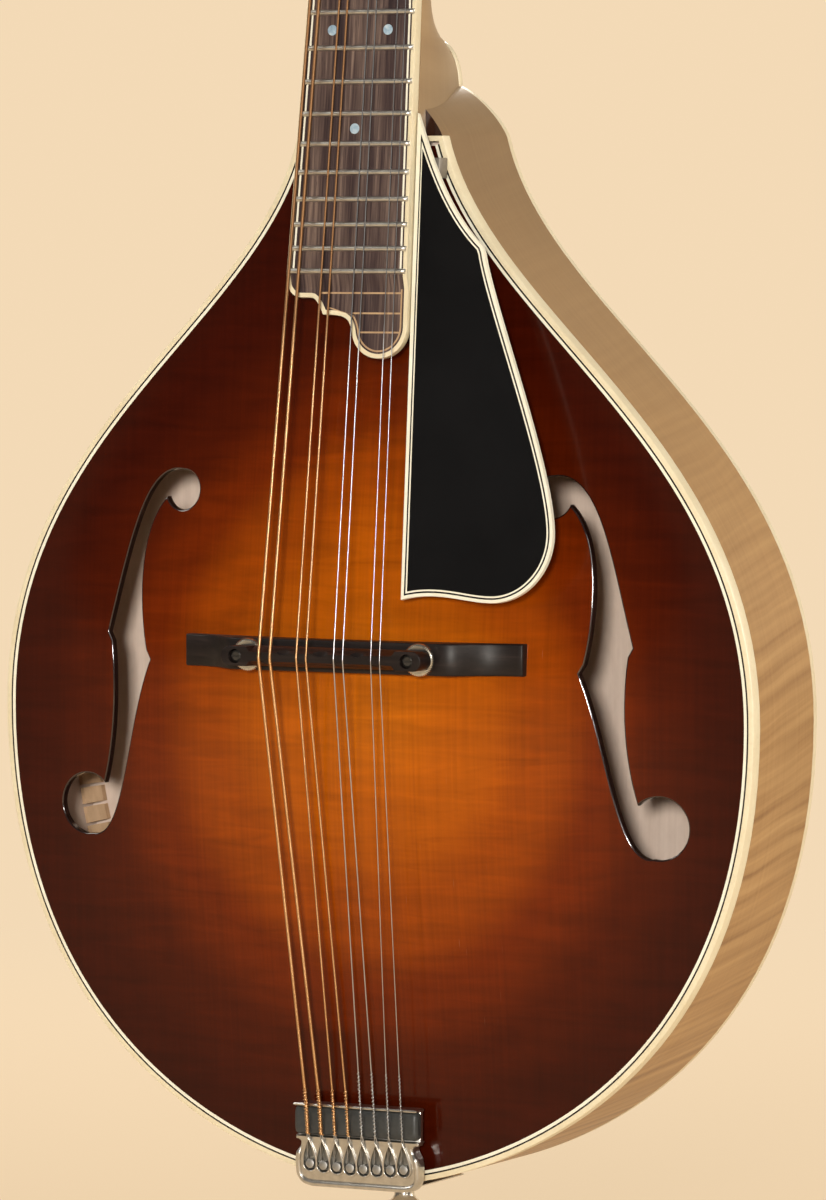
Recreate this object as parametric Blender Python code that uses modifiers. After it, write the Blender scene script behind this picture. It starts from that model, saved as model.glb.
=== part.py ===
# A-style mandolin, held by its neck: +Z runs up the neck, the top faces -Y and +X is the treble side.
# Lengths are in metres and angles in radians. The world origin is the point where a hanger holds the neck.
# In the body frame z is measured from the saddle line and y from the plane of the top's edge.
# In the neck frame y = 0 is the fingerboard's face, and in the head frame it is the headstock wood's face.

import math

import bmesh
import bpy
from mathutils import Matrix, Vector

FIT = 0.0003  # gap kept between pieces that touch

# Body outline, seen from the front
BODY_WIDTH = 0.2490
WIDEST_Z = -0.0184
TAIL_Z = -0.1576
SHOULDER_X = 0.0241
SHOULDER_Z = 0.1520
SHOULDER_PULL = (0.0135, -0.0538)
UPPER_PULL = 0.0850
LOWER_PULL = 0.1123
TAIL_PULL = 0.0309
HEEL_JOINT_X = 0.0080
HEEL_JOINT_Z = 0.1673
HEEL_SIDE_PULL = (0.0070, -0.0028)
CORNER_SIDE_PULL = (-0.0018, 0.0045)
RIB_OVERRUN = (0.0020, 0.0006)  # into the heel, which cuts it back
OUTLINE_STEPS = 11
SHOULDER_STEPS = 5

# Plates, ribs and linings
BODY_DEPTH = 0.0445
TOP_ARCH = 0.0140
BACK_ARCH = 0.0125
ARCH_CENTRE_Z = -0.0140
ARCH_FULLNESS = 1.1
PLATE_RINGS = 5
TOP_EDGE = 0.0045
TOP_CENTRE = 0.0040
BACK_EDGE = 0.0024
BACK_CENTRE = 0.0042
RIB = 0.0023
TOP_BINDING = 0.0016
BACK_BINDING = 0.0015
LINING = 0.0050
LINING_HEIGHT = 0.0065
HEAD_BLOCK_Z = 0.1260
TAIL_BLOCK_HALF = 0.0320
TAIL_BLOCK_DEPTH = 0.0180

# Sound holes, drawn on the treble side
UPPER_EYE = (0.0614, 0.0471)
UPPER_EYE_RADIUS = 0.0060
LOWER_EYE = (0.0953, -0.0480)
LOWER_EYE_RADIUS = 0.0091
OUTER_NICK = (0.0872, 0.0040)
INNER_NICK = (0.0714, -0.0037)
NICK = 0.0026
HOLE_OUTER_PULLS = ((0.0755, 0.0555), (0.0800, 0.0300))
HOLE_OUTER_FOOT_PULLS = ((0.0840, -0.0120), (0.0846, -0.0280))
HOLE_INNER_FOOT_PULLS = ((0.0820, -0.0590), (0.0805, -0.0240))
HOLE_INNER_PULLS = ((0.0765, 0.0140), (0.0770, 0.0360))
EYE_STEPS = 7
BLADE_STEPS = 6

# Tone bars under the top
BAR_WIDTH = 0.0060
BAR_HEIGHT = 0.0110
BAR_END_HEIGHT = 0.0025
BAR_TOP = (0.0160, 0.0950)
BAR_FOOT = (0.0270, -0.1050)
BAR_STEPS = 8

# Neck, fingerboard and frets
NECK_PITCH = math.radians(6.826)
BOARD_HEIGHT = 0.02764  # the fingerboard's face above the top's edge, at the saddle line
SCALE_LENGTH = 0.3549
SADDLE_SETBACK = 0.0015
NUT_WIDTH = 0.0286
BOARD_WIDTH = 0.0396  # at the last fret
BOARD_THICKNESS = 0.0036
BOARD_BINDING = 0.0013
BOARD_END = 0.0879
BOARD_STEP = 0.0178
STEP_CORNER = 0.0042
SCROLL_X = 0.0078
SCROLL_RISE = 0.0128
LOBE_RADIUS = 0.0091
LOBE_STEPS = 9
FRET_COUNT = 20
FRET_WIDTH = 0.0013
FRET_HEIGHT = 0.0010
FRET_TANG = 0.0006
FRET_DEPTH = 0.0010
FRET_INSET = 0.0005
NUT_THICKNESS = 0.0050
NUT_HEIGHT = 0.0012
NECK_THICKNESS_HEEL = 0.0205
NECK_THICKNESS_NUT = 0.0188
HEEL_ROUNDNESS = 2.3
HEEL_FALL = 5.2
HEEL_TIP_SHARES = (0.35, 0.65, 0.86, 0.97)
SHAFT_SHARES = (0.03, 0.09, 0.18, 0.31, 0.50, 0.72)
SHAFT_SECTIONS = 5
BACK_FLAT = 0.0004
SUPPORT_INSET = 0.0030  # of the board's support, from the board's edge
SUPPORT_ROOT = 0.0060  # that the support and the tenon reach into the neck
HEEL_TOP_Z = 0.1812
SHAFT_START_Z = 0.2160
TENON_HALF = 0.0090
TENON_LENGTH = 0.0200
TENON_TOP = 0.0062
TENON_BOTTOM = 0.0380
ROD_RADIUS = 0.0026
ROD_SLOT_HALF = 0.0033
ROD_SLOT_DEPTH = 0.0072
ROD_START = 0.1630
ROD_NUT_RADIUS = 0.0030
ROD_NUT_LENGTH = 0.0090
ROD_END = 0.0140  # past the nut's front face

# Headstock and its cover plates
HEAD_PITCH = math.radians(15.0)
HEAD_LENGTH = 0.1580
HEAD_THICKNESS = 0.0145
HEAD_HALF_FOOT = 0.0310
HEAD_HALF_TOP = 0.0368
HEAD_FLARE = 0.0240
HEAD_CORNER = 0.0140
HEAD_CROWN = 0.0040
HEAD_PLATE = 0.0020
COVER_THICKNESS = 0.0015
COVER_LENGTH = 0.0250
COVER_HALF = 0.0075
COVER_START = 0.0008
POCKET_HALF = 0.0045
POCKET_LENGTH = 0.0190
POCKET_DEPTH = 0.0080

# Tuning machines
POST_COUNT = 4
POST_FIRST = 0.0420
POST_PITCH = 0.0234
POST_SPREAD = 0.0380
POST_RADIUS = 0.0030
POST_WAIST = 0.0024
POST_STUB = 0.0020  # through the worm wheel
POST_HEIGHT = 0.0115
POST_HOLE_GAP = 0.0004
POST_STEPS = 8
POST_HOLE_STEPS = 12
MACHINE_PLATE = 0.0011
MACHINE_PLATE_WIDTH = 0.0170
MACHINE_PLATE_MARGIN = 0.0110
WHEEL_TEETH = 14
WORM_PITCH = 0.00165
WORM_RADIUS = 0.0020  # at the pitch line
WHEEL_FACE = 0.0022
TOOTH_ADDENDUM = 0.00045
TOOTH_ROOT = 0.00075
WHEEL_ROOT = 0.00125
TOOTH_TIP_SHARE = 0.12
THREAD_CREST = 0.00035
THREAD_ROOT = 0.00075
THREAD_TURNS = 2.3
THREAD_STEPS = 7
SHAFT_STEPS = 8
EAR_OFFSET = 0.0052
EAR_THICKNESS = 0.0012
EAR_HALF = 0.0027
SHAFT_BACK = 0.0072
BUTTON_GAP = 0.0050  # from the headstock's widest edge to the button
BUTTON_LENGTH = 0.0135
BUTTON_WIDTH = 0.0118
BUTTON_THICKNESS = 0.0078

# Strings, bass to treble
GAUGES = (0.00102, 0.00102, 0.00066, 0.00066, 0.00040, 0.00040, 0.00030, 0.00030)
LOOP_WIRE = 0.00040  # thickest core wire in a loop end
COURSE_SPACING = 0.01215
PAIR_GAPS = (0.0037, 0.0032, 0.0030, 0.0029)
NUT_COURSE_SPACING = 0.00735
NUT_PAIR_GAP = 0.0024
SADDLE_TOP = 0.0310
WINDING_TURNS = 2.5
WINDING_STEPS = 8
WINDING_TOP = 0.0078  # above the headstock wood's face
WINDING_GAP = 0.00045

# Bridge
BASE_LENGTH = 0.1120
BASE_WIDTH = 0.0094
BASE_TOP = 0.0200
BASE_END = 0.0028
BASE_FLAT_HALF = 0.0330
BASE_STEPS = 8
BASE_BEND = 0.35
SADDLE_LENGTH = 0.0660
SADDLE_FOOT = 0.0240
SADDLE_WIDTH = 0.0058
SADDLE_CREST = 0.0026
SADDLE_EAR = 0.0095  # the full width part at each end
SADDLE_BEVEL_FOOT = 0.0030
STUD_SPACING = 0.0566
STUD_RADIUS = 0.0018
STUD_TOP = 0.0302
STUD_DEPTH = 0.0055
THUMBWHEEL_RADIUS = 0.00485
THUMBWHEEL_HEIGHT = 0.0020
BORE_GAP = 0.0003

# Tailpiece and strap button
TAILPIECE_WIDTH = 0.0412
TAILPIECE_FRONT = -0.1332
TAILPIECE_BACK = -0.1574
TAILPIECE_SIDE = ((0.0003, -0.0010), (0.0, 0.0040), (0.0002, 0.0088), (0.0020, 0.0112), (0.0006, 0.0155))
TAILPIECE_CORNER = ((0.0003, 0.0062), (0.0020, 0.0027), (0.0064, 0.0007))
CASTING_FRONT_UNDERSIDE = 0.0048
CASTING_UNDERSIDE = 0.0036
LIP_TOP = 0.0098
LIP_THICKNESS = 0.0010
STRIP_FLOOR = 0.0062
STRIP_LENGTH = 0.0082
STRIP_HEIGHT = 0.0028
CASTING_TOP = 0.0088
CASTING_END_TOP = 0.0072
TRAY_FLOOR = 0.0050
TRAY_FRONT = -0.1446
TRAY_WALL = 0.0014
TRAY_CORNER = 0.0034
HOOK_Z = -0.1510
HOOK_PITCH = 0.00447
HOOK_RADIUS = 0.0013
HOOK_TOP = 0.0085
LEG_THICKNESS = 0.0008
LEG_HALF = 0.0140
LEG_BEND = 0.0026
LEG_DROP = 0.0340
BUTTON_DROP = 0.0222  # strap button's axis below the top's edge
STRAP_BUTTON_RADIUS = 0.0050
STRAP_BUTTON_NECK = 0.0030
STRAP_BUTTON_LENGTH = 0.0085
STRAP_PIN_RADIUS = 0.0022
STRAP_PIN_DEPTH = 0.0140

# Pickguard, parallel to the fingerboard's face
GUARD_DROP = 0.0029
GUARD_THICKNESS = 0.0016
GUARD_BINDING = 0.0024
GUARD_TOP = 0.1600
GUARD_FOOT = 0.0178
GUARD_KINK = (0.0424, 0.1211)
GUARD_WIDEST = (0.0702, 0.0385)
GUARD_CORNER_END = (0.0500, 0.0176)
GUARD_BEND = (0.0008, -0.0019)
GUARD_SHOULDER_PULLS = ((0.0245, 0.1478), (0.0310, 0.1318))
GUARD_FLANK_PULLS = ((0.0462, 0.1050), (0.0690, 0.0572))
GUARD_CORNER_PULLS = ((0.0710, 0.0270), (0.0620, 0.0170))
GUARD_FOOT_PULLS = ((0.0420, 0.0178), (0.0330, 0.0208))
BRACKET_Z = 0.1395
BRACKET_LENGTH = 0.0060
BRACKET_SHEET = 0.0010
BRACKET_REACH = 0.0056
BRACKET_SETBACK = 0.0012

# Where the hanger's arms hold the neck
HANGER_Z = 0.3600
HANGER_BACK = 0.0240

FINISHES = {
    "spruce": ((0.30, 0.075, 0.016), 0.22, 0.0),
    "flamed_maple": ((0.46, 0.25, 0.10), 0.28, 0.0),
    "plain_wood": ((0.62, 0.45, 0.28), 0.70, 0.0),
    "cream": ((0.86, 0.78, 0.58), 0.35, 0.0),
    "ebony": ((0.030, 0.022, 0.020), 0.40, 0.0),
    "rosewood": ((0.13, 0.085, 0.065), 0.50, 0.0),
    "black_gloss": ((0.008, 0.008, 0.009), 0.12, 0.0),
    "bone": ((0.82, 0.78, 0.66), 0.40, 0.0),
    "nickel": ((0.66, 0.63, 0.58), 0.25, 1.0),
    "steel": ((0.70, 0.70, 0.72), 0.30, 1.0),
    "bronze": ((0.72, 0.42, 0.16), 0.32, 1.0),
    "rubber": ((0.035, 0.038, 0.040), 0.60, 0.0),
}


def clear_scene():
    for item in list(bpy.data.objects):
        bpy.data.objects.remove(item)


def new_collection(name):
    collection = bpy.data.collections.new(name)
    bpy.context.scene.collection.children.link(collection)
    return collection


def finish_material(name):
    found = bpy.data.materials.get(name)
    if found:
        return found
    colour, roughness, metallic = FINISHES[name]
    material = bpy.data.materials.new(name)
    material.use_nodes = True
    shader = material.node_tree.nodes["Principled BSDF"]
    shader.inputs["Base Color"].default_value = (*colour, 1.0)
    shader.inputs["Roughness"].default_value = roughness
    shader.inputs["Metallic"].default_value = metallic
    return material


def new_frame(name, parent, location, pitch=0.0):
    """An empty that tilts its children by pitch about X."""
    empty = bpy.data.objects.new(name, None)
    PARTS.objects.link(empty)
    empty.parent = parent
    empty.location = location
    empty.rotation_euler = (-pitch, 0.0, 0.0)
    return empty


def place(name, mesh, frame, finish, location=(0, 0, 0), rotation=(0, 0, 0)):
    piece = bpy.data.objects.new(name, mesh)
    PARTS.objects.link(piece)
    piece.parent = frame
    piece.location = location
    piece.rotation_euler = rotation
    if not mesh.materials:
        mesh.materials.append(finish_material(finish))
    mesh.shade_smooth()
    mesh.set_sharp_from_angle(angle=math.radians(32))
    return piece


def cutter(name, mesh, frame, location=(0, 0, 0), rotation=(0, 0, 0)):
    tool = bpy.data.objects.new(name, mesh)
    CUTTERS.objects.link(tool)
    tool.parent = frame
    tool.location = location
    tool.rotation_euler = rotation
    tool.hide_render = True
    tool.display_type = "WIRE"
    return tool


def combine(piece, tool, operation):
    modifier = piece.modifiers.new(tool.name, "BOOLEAN")
    modifier.operation = operation
    modifier.object = tool
    modifier.solver = "EXACT"


def cut(piece, tool):
    combine(piece, tool, "DIFFERENCE")


def join(piece, tool):
    combine(piece, tool, "UNION")


def close_mesh(mesh):
    """Welds a mesh's loose seams and turns its faces outwards."""
    shape = bmesh.new()
    shape.from_mesh(mesh)
    bmesh.ops.remove_doubles(shape, verts=shape.verts, dist=1e-6)
    bmesh.ops.recalc_face_normals(shape, faces=shape.faces)
    shape.to_mesh(mesh)
    shape.free()
    return mesh


def baked(piece):
    """The evaluated mesh of a piece, which is then removed."""
    bpy.context.view_layer.update()
    graph = bpy.context.evaluated_depsgraph_get()
    mesh = bpy.data.meshes.new_from_object(piece.evaluated_get(graph))
    bpy.data.objects.remove(piece)
    return close_mesh(mesh)


def bezier(start, start_pull, end_pull, end, steps):
    points = []
    for i in range(steps + 1):
        t = i / steps
        weights = ((1 - t) ** 3, 3 * t * (1 - t) ** 2, 3 * t * t * (1 - t), t**3)
        corners = (start, start_pull, end_pull, end)
        points.append(tuple(sum(w * c[k] for w, c in zip(weights, corners)) for k in (0, 1)))
    return points


def arc(centre, radius, first, last, steps):
    points = []
    for i in range(steps + 1):
        angle = math.radians(first + (last - first) * i / steps)
        points.append((centre[0] + radius * math.cos(angle), centre[1] + radius * math.sin(angle)))
    return points


def mirrored(points):
    return [(-x, z) for x, z in reversed(points)]


def symmetric(half):
    """A half outline that ends on the middle line, with its mirror image."""
    return half + mirrored(half)[1:]


def offset_path(path, distance):
    """An open path moved to its right-hand side, with corners kept square."""
    moved = []
    for i, point in enumerate(path):
        before = Vector(path[max(i - 1, 0)])
        after = Vector(path[min(i + 1, len(path) - 1)])
        here = Vector(point)
        first = (here - before).normalized() if i else (after - here).normalized()
        second = (after - here).normalized() if i < len(path) - 1 else first
        along = (first + second).normalized()
        side = Vector((along.y, -along.x)) / max(along.dot(first), 0.4)
        moved.append(tuple(here + side * distance))
    return moved


def distance_to_outline(point, outline):
    here = Vector(point)
    least = 1.0
    for a, b in zip(outline, outline[1:] + outline[:1]):
        start, edge = Vector(a), Vector(b) - Vector(a)
        share = max(0.0, min(1.0, (here - start).dot(edge) / edge.length_squared))
        least = min(least, (here - start - edge * share).length)
    return least


def inset_outline(outline, distance):
    """A closed clockwise outline drawn in by distance, without the points that sharp corners fold over."""
    kept = []
    count = len(outline)
    for i, point in enumerate(outline):
        here = Vector(point)
        first = (here - Vector(outline[i - 1])).normalized()
        second = (Vector(outline[(i + 1) % count]) - here).normalized()
        along = (first + second).normalized()
        side = Vector((along.y, -along.x)) / max(along.dot(first), 0.15)
        moved = here + side * distance
        if distance_to_outline(moved, outline) > distance * 0.995:
            kept.append(tuple(moved))
    return kept


def slab_mesh(name, outlines, front, back):
    """Flat outlines in x and z, solid from y = front to y = back."""
    curve = bpy.data.curves.new(name, "CURVE")
    curve.dimensions = "2D"
    curve.fill_mode = "BOTH"
    curve.extrude = (back - front) / 2
    for outline in outlines:
        spline = curve.splines.new("POLY")
        spline.points.add(len(outline) - 1)
        for point, (x, z) in zip(spline.points, outline):
            point.co = (x, z, 0.0, 1.0)
        spline.use_cyclic_u = True
    flat = bpy.data.objects.new(name, curve)
    PARTS.objects.link(flat)
    mesh = baked(flat)
    bpy.data.curves.remove(curve)
    upright = Matrix.Translation((0, (front + back) / 2, 0)) @ Matrix.Rotation(math.pi / 2, 4, "X")
    mesh.transform(upright)
    return mesh


def side_slab_mesh(name, outline, half_width):
    """A flat outline in z and height, solid across x."""
    mesh = slab_mesh(name, [outline], -half_width, half_width)
    turn = Matrix(((0, 1, 0, 0), (0, 0, -1, 0), (1, 0, 0, 0), (0, 0, 0, 1)))
    mesh.transform(turn)
    return close_mesh(mesh)


def box_mesh(name, low, high):
    mesh = bpy.data.meshes.new(name)
    shape = bmesh.new()
    bmesh.ops.create_cube(shape, size=1.0)
    size = Vector(high) - Vector(low)
    middle = (Vector(high) + Vector(low)) / 2
    bmesh.ops.scale(shape, vec=size, verts=shape.verts)
    bmesh.ops.translate(shape, vec=middle, verts=shape.verts)
    shape.to_mesh(mesh)
    shape.free()
    return mesh


def rod_mesh(name, radius, start, end, sides):
    """A round rod along z."""
    mesh = bpy.data.meshes.new(name)
    shape = bmesh.new()
    bmesh.ops.create_cone(
        shape, cap_ends=True, segments=sides, radius1=radius, radius2=radius, depth=end - start
    )
    bmesh.ops.translate(shape, vec=(0, 0, (start + end) / 2), verts=shape.verts)
    shape.to_mesh(mesh)
    shape.free()
    return mesh


def turned_mesh(name, profile, steps, ring=False):
    """A profile of radius and height turned about z. A ring's profile closes on itself."""
    mesh = bpy.data.meshes.new(name)
    shape = bmesh.new()
    points = [shape.verts.new((radius, 0, height)) for radius, height in profile]
    following = points[1:] + points[:1] if ring else points[1:]
    for a, b in zip(points, following):
        shape.edges.new((a, b))
    shape.to_mesh(mesh)
    shape.free()
    piece = bpy.data.objects.new(name, mesh)
    PARTS.objects.link(piece)
    turn = piece.modifiers.new("turn", "SCREW")
    turn.steps = steps
    turn.render_steps = steps
    turn.use_merge_vertices = True
    turn.merge_threshold = 1e-5
    return baked(piece)


def loft_mesh(name, sections):
    """Skins a row of like sections and closes both ends."""
    mesh = bpy.data.meshes.new(name)
    shape = bmesh.new()
    rows = [[shape.verts.new(point) for point in section] for section in sections]
    count = len(rows[0])
    for row, following in zip(rows, rows[1:]):
        for i in range(count):
            j = (i + 1) % count
            shape.faces.new((row[i], row[j], following[j], following[i]))
    shape.faces.new(rows[0])
    shape.faces.new(rows[-1])
    shape.to_mesh(mesh)
    shape.free()
    return close_mesh(mesh)


def plate_mesh(name, outline, outer_y, inner_y):
    """An arched plate: rings drawn in from its outline to the arch's centre, on both faces."""
    mesh = bpy.data.meshes.new(name)
    shape = bmesh.new()
    faces = []
    for level in (outer_y, inner_y):
        centre = shape.verts.new((0, level(0.0), ARCH_CENTRE_Z))
        rings = []
        for k in range(1, PLATE_RINGS + 1):
            share = k / PLATE_RINGS
            ring = []
            for x, z in outline:
                height = ARCH_CENTRE_Z + (z - ARCH_CENTRE_Z) * share
                ring.append(shape.verts.new((x * share, level(share), height)))
            rings.append(ring)
        faces.append((centre, rings))
    count = len(outline)
    for centre, rings in faces:
        for i in range(count):
            j = (i + 1) % count
            shape.faces.new((centre, rings[0][i], rings[0][j]))
            for ring, wider in zip(rings, rings[1:]):
                shape.faces.new((ring[i], ring[j], wider[j], wider[i]))
    for i in range(count):
        j = (i + 1) % count
        shape.faces.new((faces[0][1][-1][i], faces[0][1][-1][j], faces[1][1][-1][j], faces[1][1][-1][i]))
    shape.to_mesh(mesh)
    shape.free()
    return close_mesh(mesh)


def arch_share(share):
    """1 at the arch's centre, 0 with a level edge at the outline."""
    return math.cos(math.pi / 2 * min(share, 1.0) ** ARCH_FULLNESS) ** 2


def faceted(level, share):
    """A level between two rings of a plate, where its faces are flat."""
    below = min(int(share * PLATE_RINGS), PLATE_RINGS - 1)
    rest = min(share, 1.0) * PLATE_RINGS - below
    return level(below / PLATE_RINGS) * (1 - rest) + level((below + 1) / PLATE_RINGS) * rest


def trimmed(path, axis, low, high):
    """The stretch of a path that lies between two limits along one axis, with its ends on them."""
    kept = []
    for a, b in zip(path, path[1:]):
        if low <= a[axis] <= high:
            kept.append(a)
        for limit in (low, high):
            if (a[axis] - limit) * (b[axis] - limit) < 0:
                share = (limit - a[axis]) / (b[axis] - a[axis])
                kept.append((a[0] + (b[0] - a[0]) * share, a[1] + (b[1] - a[1]) * share))
    if low <= path[-1][axis] <= high:
        kept.append(path[-1])
    return kept


def body_half():
    """The ribs' outer face from the shoulder corner down to the tail, on the treble side."""
    half = BODY_WIDTH / 2
    shoulder = (SHOULDER_X, SHOULDER_Z)
    shoulder_pull = (SHOULDER_X + SHOULDER_PULL[0], SHOULDER_Z + SHOULDER_PULL[1])
    widest = (half, WIDEST_Z)
    upper = bezier(shoulder, shoulder_pull, (half, WIDEST_Z + UPPER_PULL), widest, OUTLINE_STEPS)
    lower = bezier(
        widest, (half, WIDEST_Z - LOWER_PULL), (TAIL_PULL, TAIL_Z), (0, TAIL_Z), OUTLINE_STEPS
    )
    return upper + lower[1:]


def shoulder_curve():
    """The ribs' outer face from the heel round to the shoulder corner."""
    start = (HEEL_JOINT_X, HEEL_JOINT_Z)
    end = (SHOULDER_X, SHOULDER_Z)
    start_pull = (HEEL_JOINT_X + HEEL_SIDE_PULL[0], HEEL_JOINT_Z + HEEL_SIDE_PULL[1])
    end_pull = (SHOULDER_X + CORNER_SIDE_PULL[0], SHOULDER_Z + CORNER_SIDE_PULL[1])
    return bezier(start, start_pull, end_pull, end, SHOULDER_STEPS)


def top_edge_path():
    """The top's edge from the neck's treble side round the tail to its bass side."""
    neck_side = board_half(SHOULDER_Z / math.cos(NECK_PITCH)) + FIT
    half = [(neck_side, SHOULDER_Z)] + body_half()
    return symmetric(half)


def back_edge_path():
    return symmetric(shoulder_curve() + body_half()[1:])


def top_outline():
    return offset_path(top_edge_path(), TOP_BINDING + FIT)


def rim_share(x, z, outline):
    """How far a point lies from the arch's centre towards the outline, 1 on the outline."""
    centre = Vector((0, ARCH_CENTRE_Z))
    reach = Vector((x, z)) - centre
    if reach.length < 1e-9:
        return 0.0
    for a, b in zip(outline, outline[1:] + outline[:1]):
        start = Vector(a) - centre
        edge = Vector(b) - Vector(a)
        spread = reach.x * edge.y - reach.y * edge.x
        if abs(spread) < 1e-15:
            continue
        along = (start.x * edge.y - start.y * edge.x) / spread
        across = (start.x * reach.y - start.y * reach.x) / spread
        if along > 0 and -1e-9 <= across <= 1 + 1e-9:
            return 1 / along
    return 1.0


def top_height(x, z):
    """The top's outer face above its edge plane."""
    return TOP_ARCH * faceted(arch_share, rim_share(x, z, TOP_OUTLINE))


def top_thickness(share):
    return TOP_CENTRE + (TOP_EDGE - TOP_CENTRE) * share**2


def top_space(name):
    """The room that the top takes from what is fitted to it."""
    mesh = plate_mesh(
        name,
        TOP_OUTLINE,
        lambda share: -TOP_ARCH * arch_share(share) - FIT,
        lambda share: -TOP_ARCH * arch_share(share) + top_thickness(share) + FIT,
    )
    return cutter(name, mesh, BODY)


def board_half(s):
    """Half the fingerboard's width at s along the neck frame."""
    taper = (BOARD_WIDTH - NUT_WIDTH) / 2 / (NUT_S - fret_s(FRET_COUNT))
    return NUT_WIDTH / 2 + (NUT_S - s) * taper


def fret_s(number):
    return SADDLE_SETBACK + SCALE_LENGTH * 2 ** (-number / 12)


def board_face(z):
    """The fingerboard's face above the top's edge plane, at z in the body frame."""
    return BOARD_HEIGHT - math.tan(NECK_PITCH) * z


def glue_face(z):
    """The neck wood's face under the fingerboard."""
    return board_face(z) - (BOARD_THICKNESS + FIT) / math.cos(NECK_PITCH)


def sound_hole_outline():
    """One treble sound hole: two eyes joined by a blade with a nick on each side."""
    top = (UPPER_EYE[0], UPPER_EYE[1] + UPPER_EYE_RADIUS)
    outer = bezier(top, *HOLE_OUTER_PULLS, OUTER_NICK, BLADE_STEPS)
    lower_eye = arc(LOWER_EYE, LOWER_EYE_RADIUS, 135, -100, 2 * EYE_STEPS)
    below_nick = (OUTER_NICK[0] - NICK * 0.55, OUTER_NICK[1] - NICK)
    outer_foot = bezier(below_nick, *HOLE_OUTER_FOOT_PULLS, lower_eye[0], BLADE_STEPS)
    inner_foot = bezier(lower_eye[-1], *HOLE_INNER_FOOT_PULLS, INNER_NICK, BLADE_STEPS)
    upper_eye = arc(UPPER_EYE, UPPER_EYE_RADIUS, -20, -270, 2 * EYE_STEPS)
    above_nick = (INNER_NICK[0] + NICK * 0.6, INNER_NICK[1] + NICK)
    inner = bezier(above_nick, *HOLE_INNER_PULLS, upper_eye[0], BLADE_STEPS)
    return outer + outer_foot + lower_eye[1:] + inner_foot[1:] + inner + upper_eye[1:-1]


def make_plates():
    outline = TOP_OUTLINE
    top = place(
        "top_plate",
        plate_mesh(
            "top_plate",
            outline,
            lambda share: -TOP_ARCH * arch_share(share),
            lambda share: -TOP_ARCH * arch_share(share) + top_thickness(share),
        ),
        BODY,
        "spruce",
    )
    hole = sound_hole_outline()
    for side, flip in (("treble", 1), ("bass", -1)):
        drawn = [(flip * x, z) for x, z in hole]
        mesh = slab_mesh("sound_hole_" + side, [drawn], -TOP_ARCH, TOP_EDGE * 2)
        cut(top, cutter("sound_hole_" + side, mesh, BODY))
    back_outline = offset_path(back_edge_path(), BACK_BINDING + FIT)
    place(
        "back_plate",
        plate_mesh(
            "back_plate",
            back_outline,
            lambda share: BODY_DEPTH + BACK_ARCH * arch_share(share),
            lambda share: BODY_DEPTH
            + BACK_ARCH * arch_share(share)
            - (BACK_CENTRE + (BACK_EDGE - BACK_CENTRE) * share**2),
        ),
        BODY,
        "flamed_maple",
    )


def band(path, outer, inner):
    return offset_path(path, outer) + list(reversed(offset_path(path, inner)))


def rib_path():
    """A rib's outer face, from inside the heel to the tail."""
    start = (HEEL_JOINT_X - RIB_OVERRUN[0], HEEL_JOINT_Z + RIB_OVERRUN[1])
    return [start] + shoulder_curve() + body_half()[1:]


def make_ribs():
    """The two ribs, the four lining strips and both bindings."""
    rib_front = TOP_EDGE + FIT
    rib_back = BODY_DEPTH - BACK_EDGE - FIT
    half = rib_path()
    heel = cutter("heel_space", neck_loft_mesh("heel_space", FIT, heel_only=True), BODY)
    tail_gap = (FIT / 2, TAIL_Z)
    for side, flip in (("treble", 1), ("bass", -1)):
        path = half[:-1] + [tail_gap]
        drawn = band(path, 0.0, RIB)
        drawn[len(path)] = (FIT / 2, drawn[len(path)][1])
        drawn = [(flip * x, z) for x, z in drawn]
        mesh = slab_mesh("rib_" + side, [drawn], rib_front, rib_back)
        rib = place("rib_" + side, mesh, BODY, "flamed_maple")
        cut(rib, heel)
        runs = []
        for depth in (RIB + FIT, RIB + FIT + LINING):
            run = trimmed(offset_path(half, depth), 1, TAIL_Z, HEAD_BLOCK_Z - FIT)
            runs.append(trimmed(run, 0, TAIL_BLOCK_HALF + FIT, BODY_WIDTH))
        drawn = runs[0] + list(reversed(runs[1]))
        drawn = [(flip * x, z) for x, z in drawn]
        for name, front, back in (
            ("top_lining_", rib_front, rib_front + LINING_HEIGHT),
            ("back_lining_", rib_back - LINING_HEIGHT, rib_back),
        ):
            mesh = slab_mesh(name + side, [drawn], front, back)
            place(name + side, mesh, BODY, "plain_wood")
    drawn = band(top_edge_path(), 0.0, TOP_BINDING)
    place("top_binding", slab_mesh("top_binding", [drawn], 0.0, TOP_EDGE), BODY, "cream")
    drawn = band(back_edge_path(), 0.0, BACK_BINDING)
    mesh = slab_mesh("back_binding", [drawn], BODY_DEPTH - BACK_EDGE, BODY_DEPTH)
    place("back_binding", mesh, BODY, "cream")
    return heel


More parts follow.
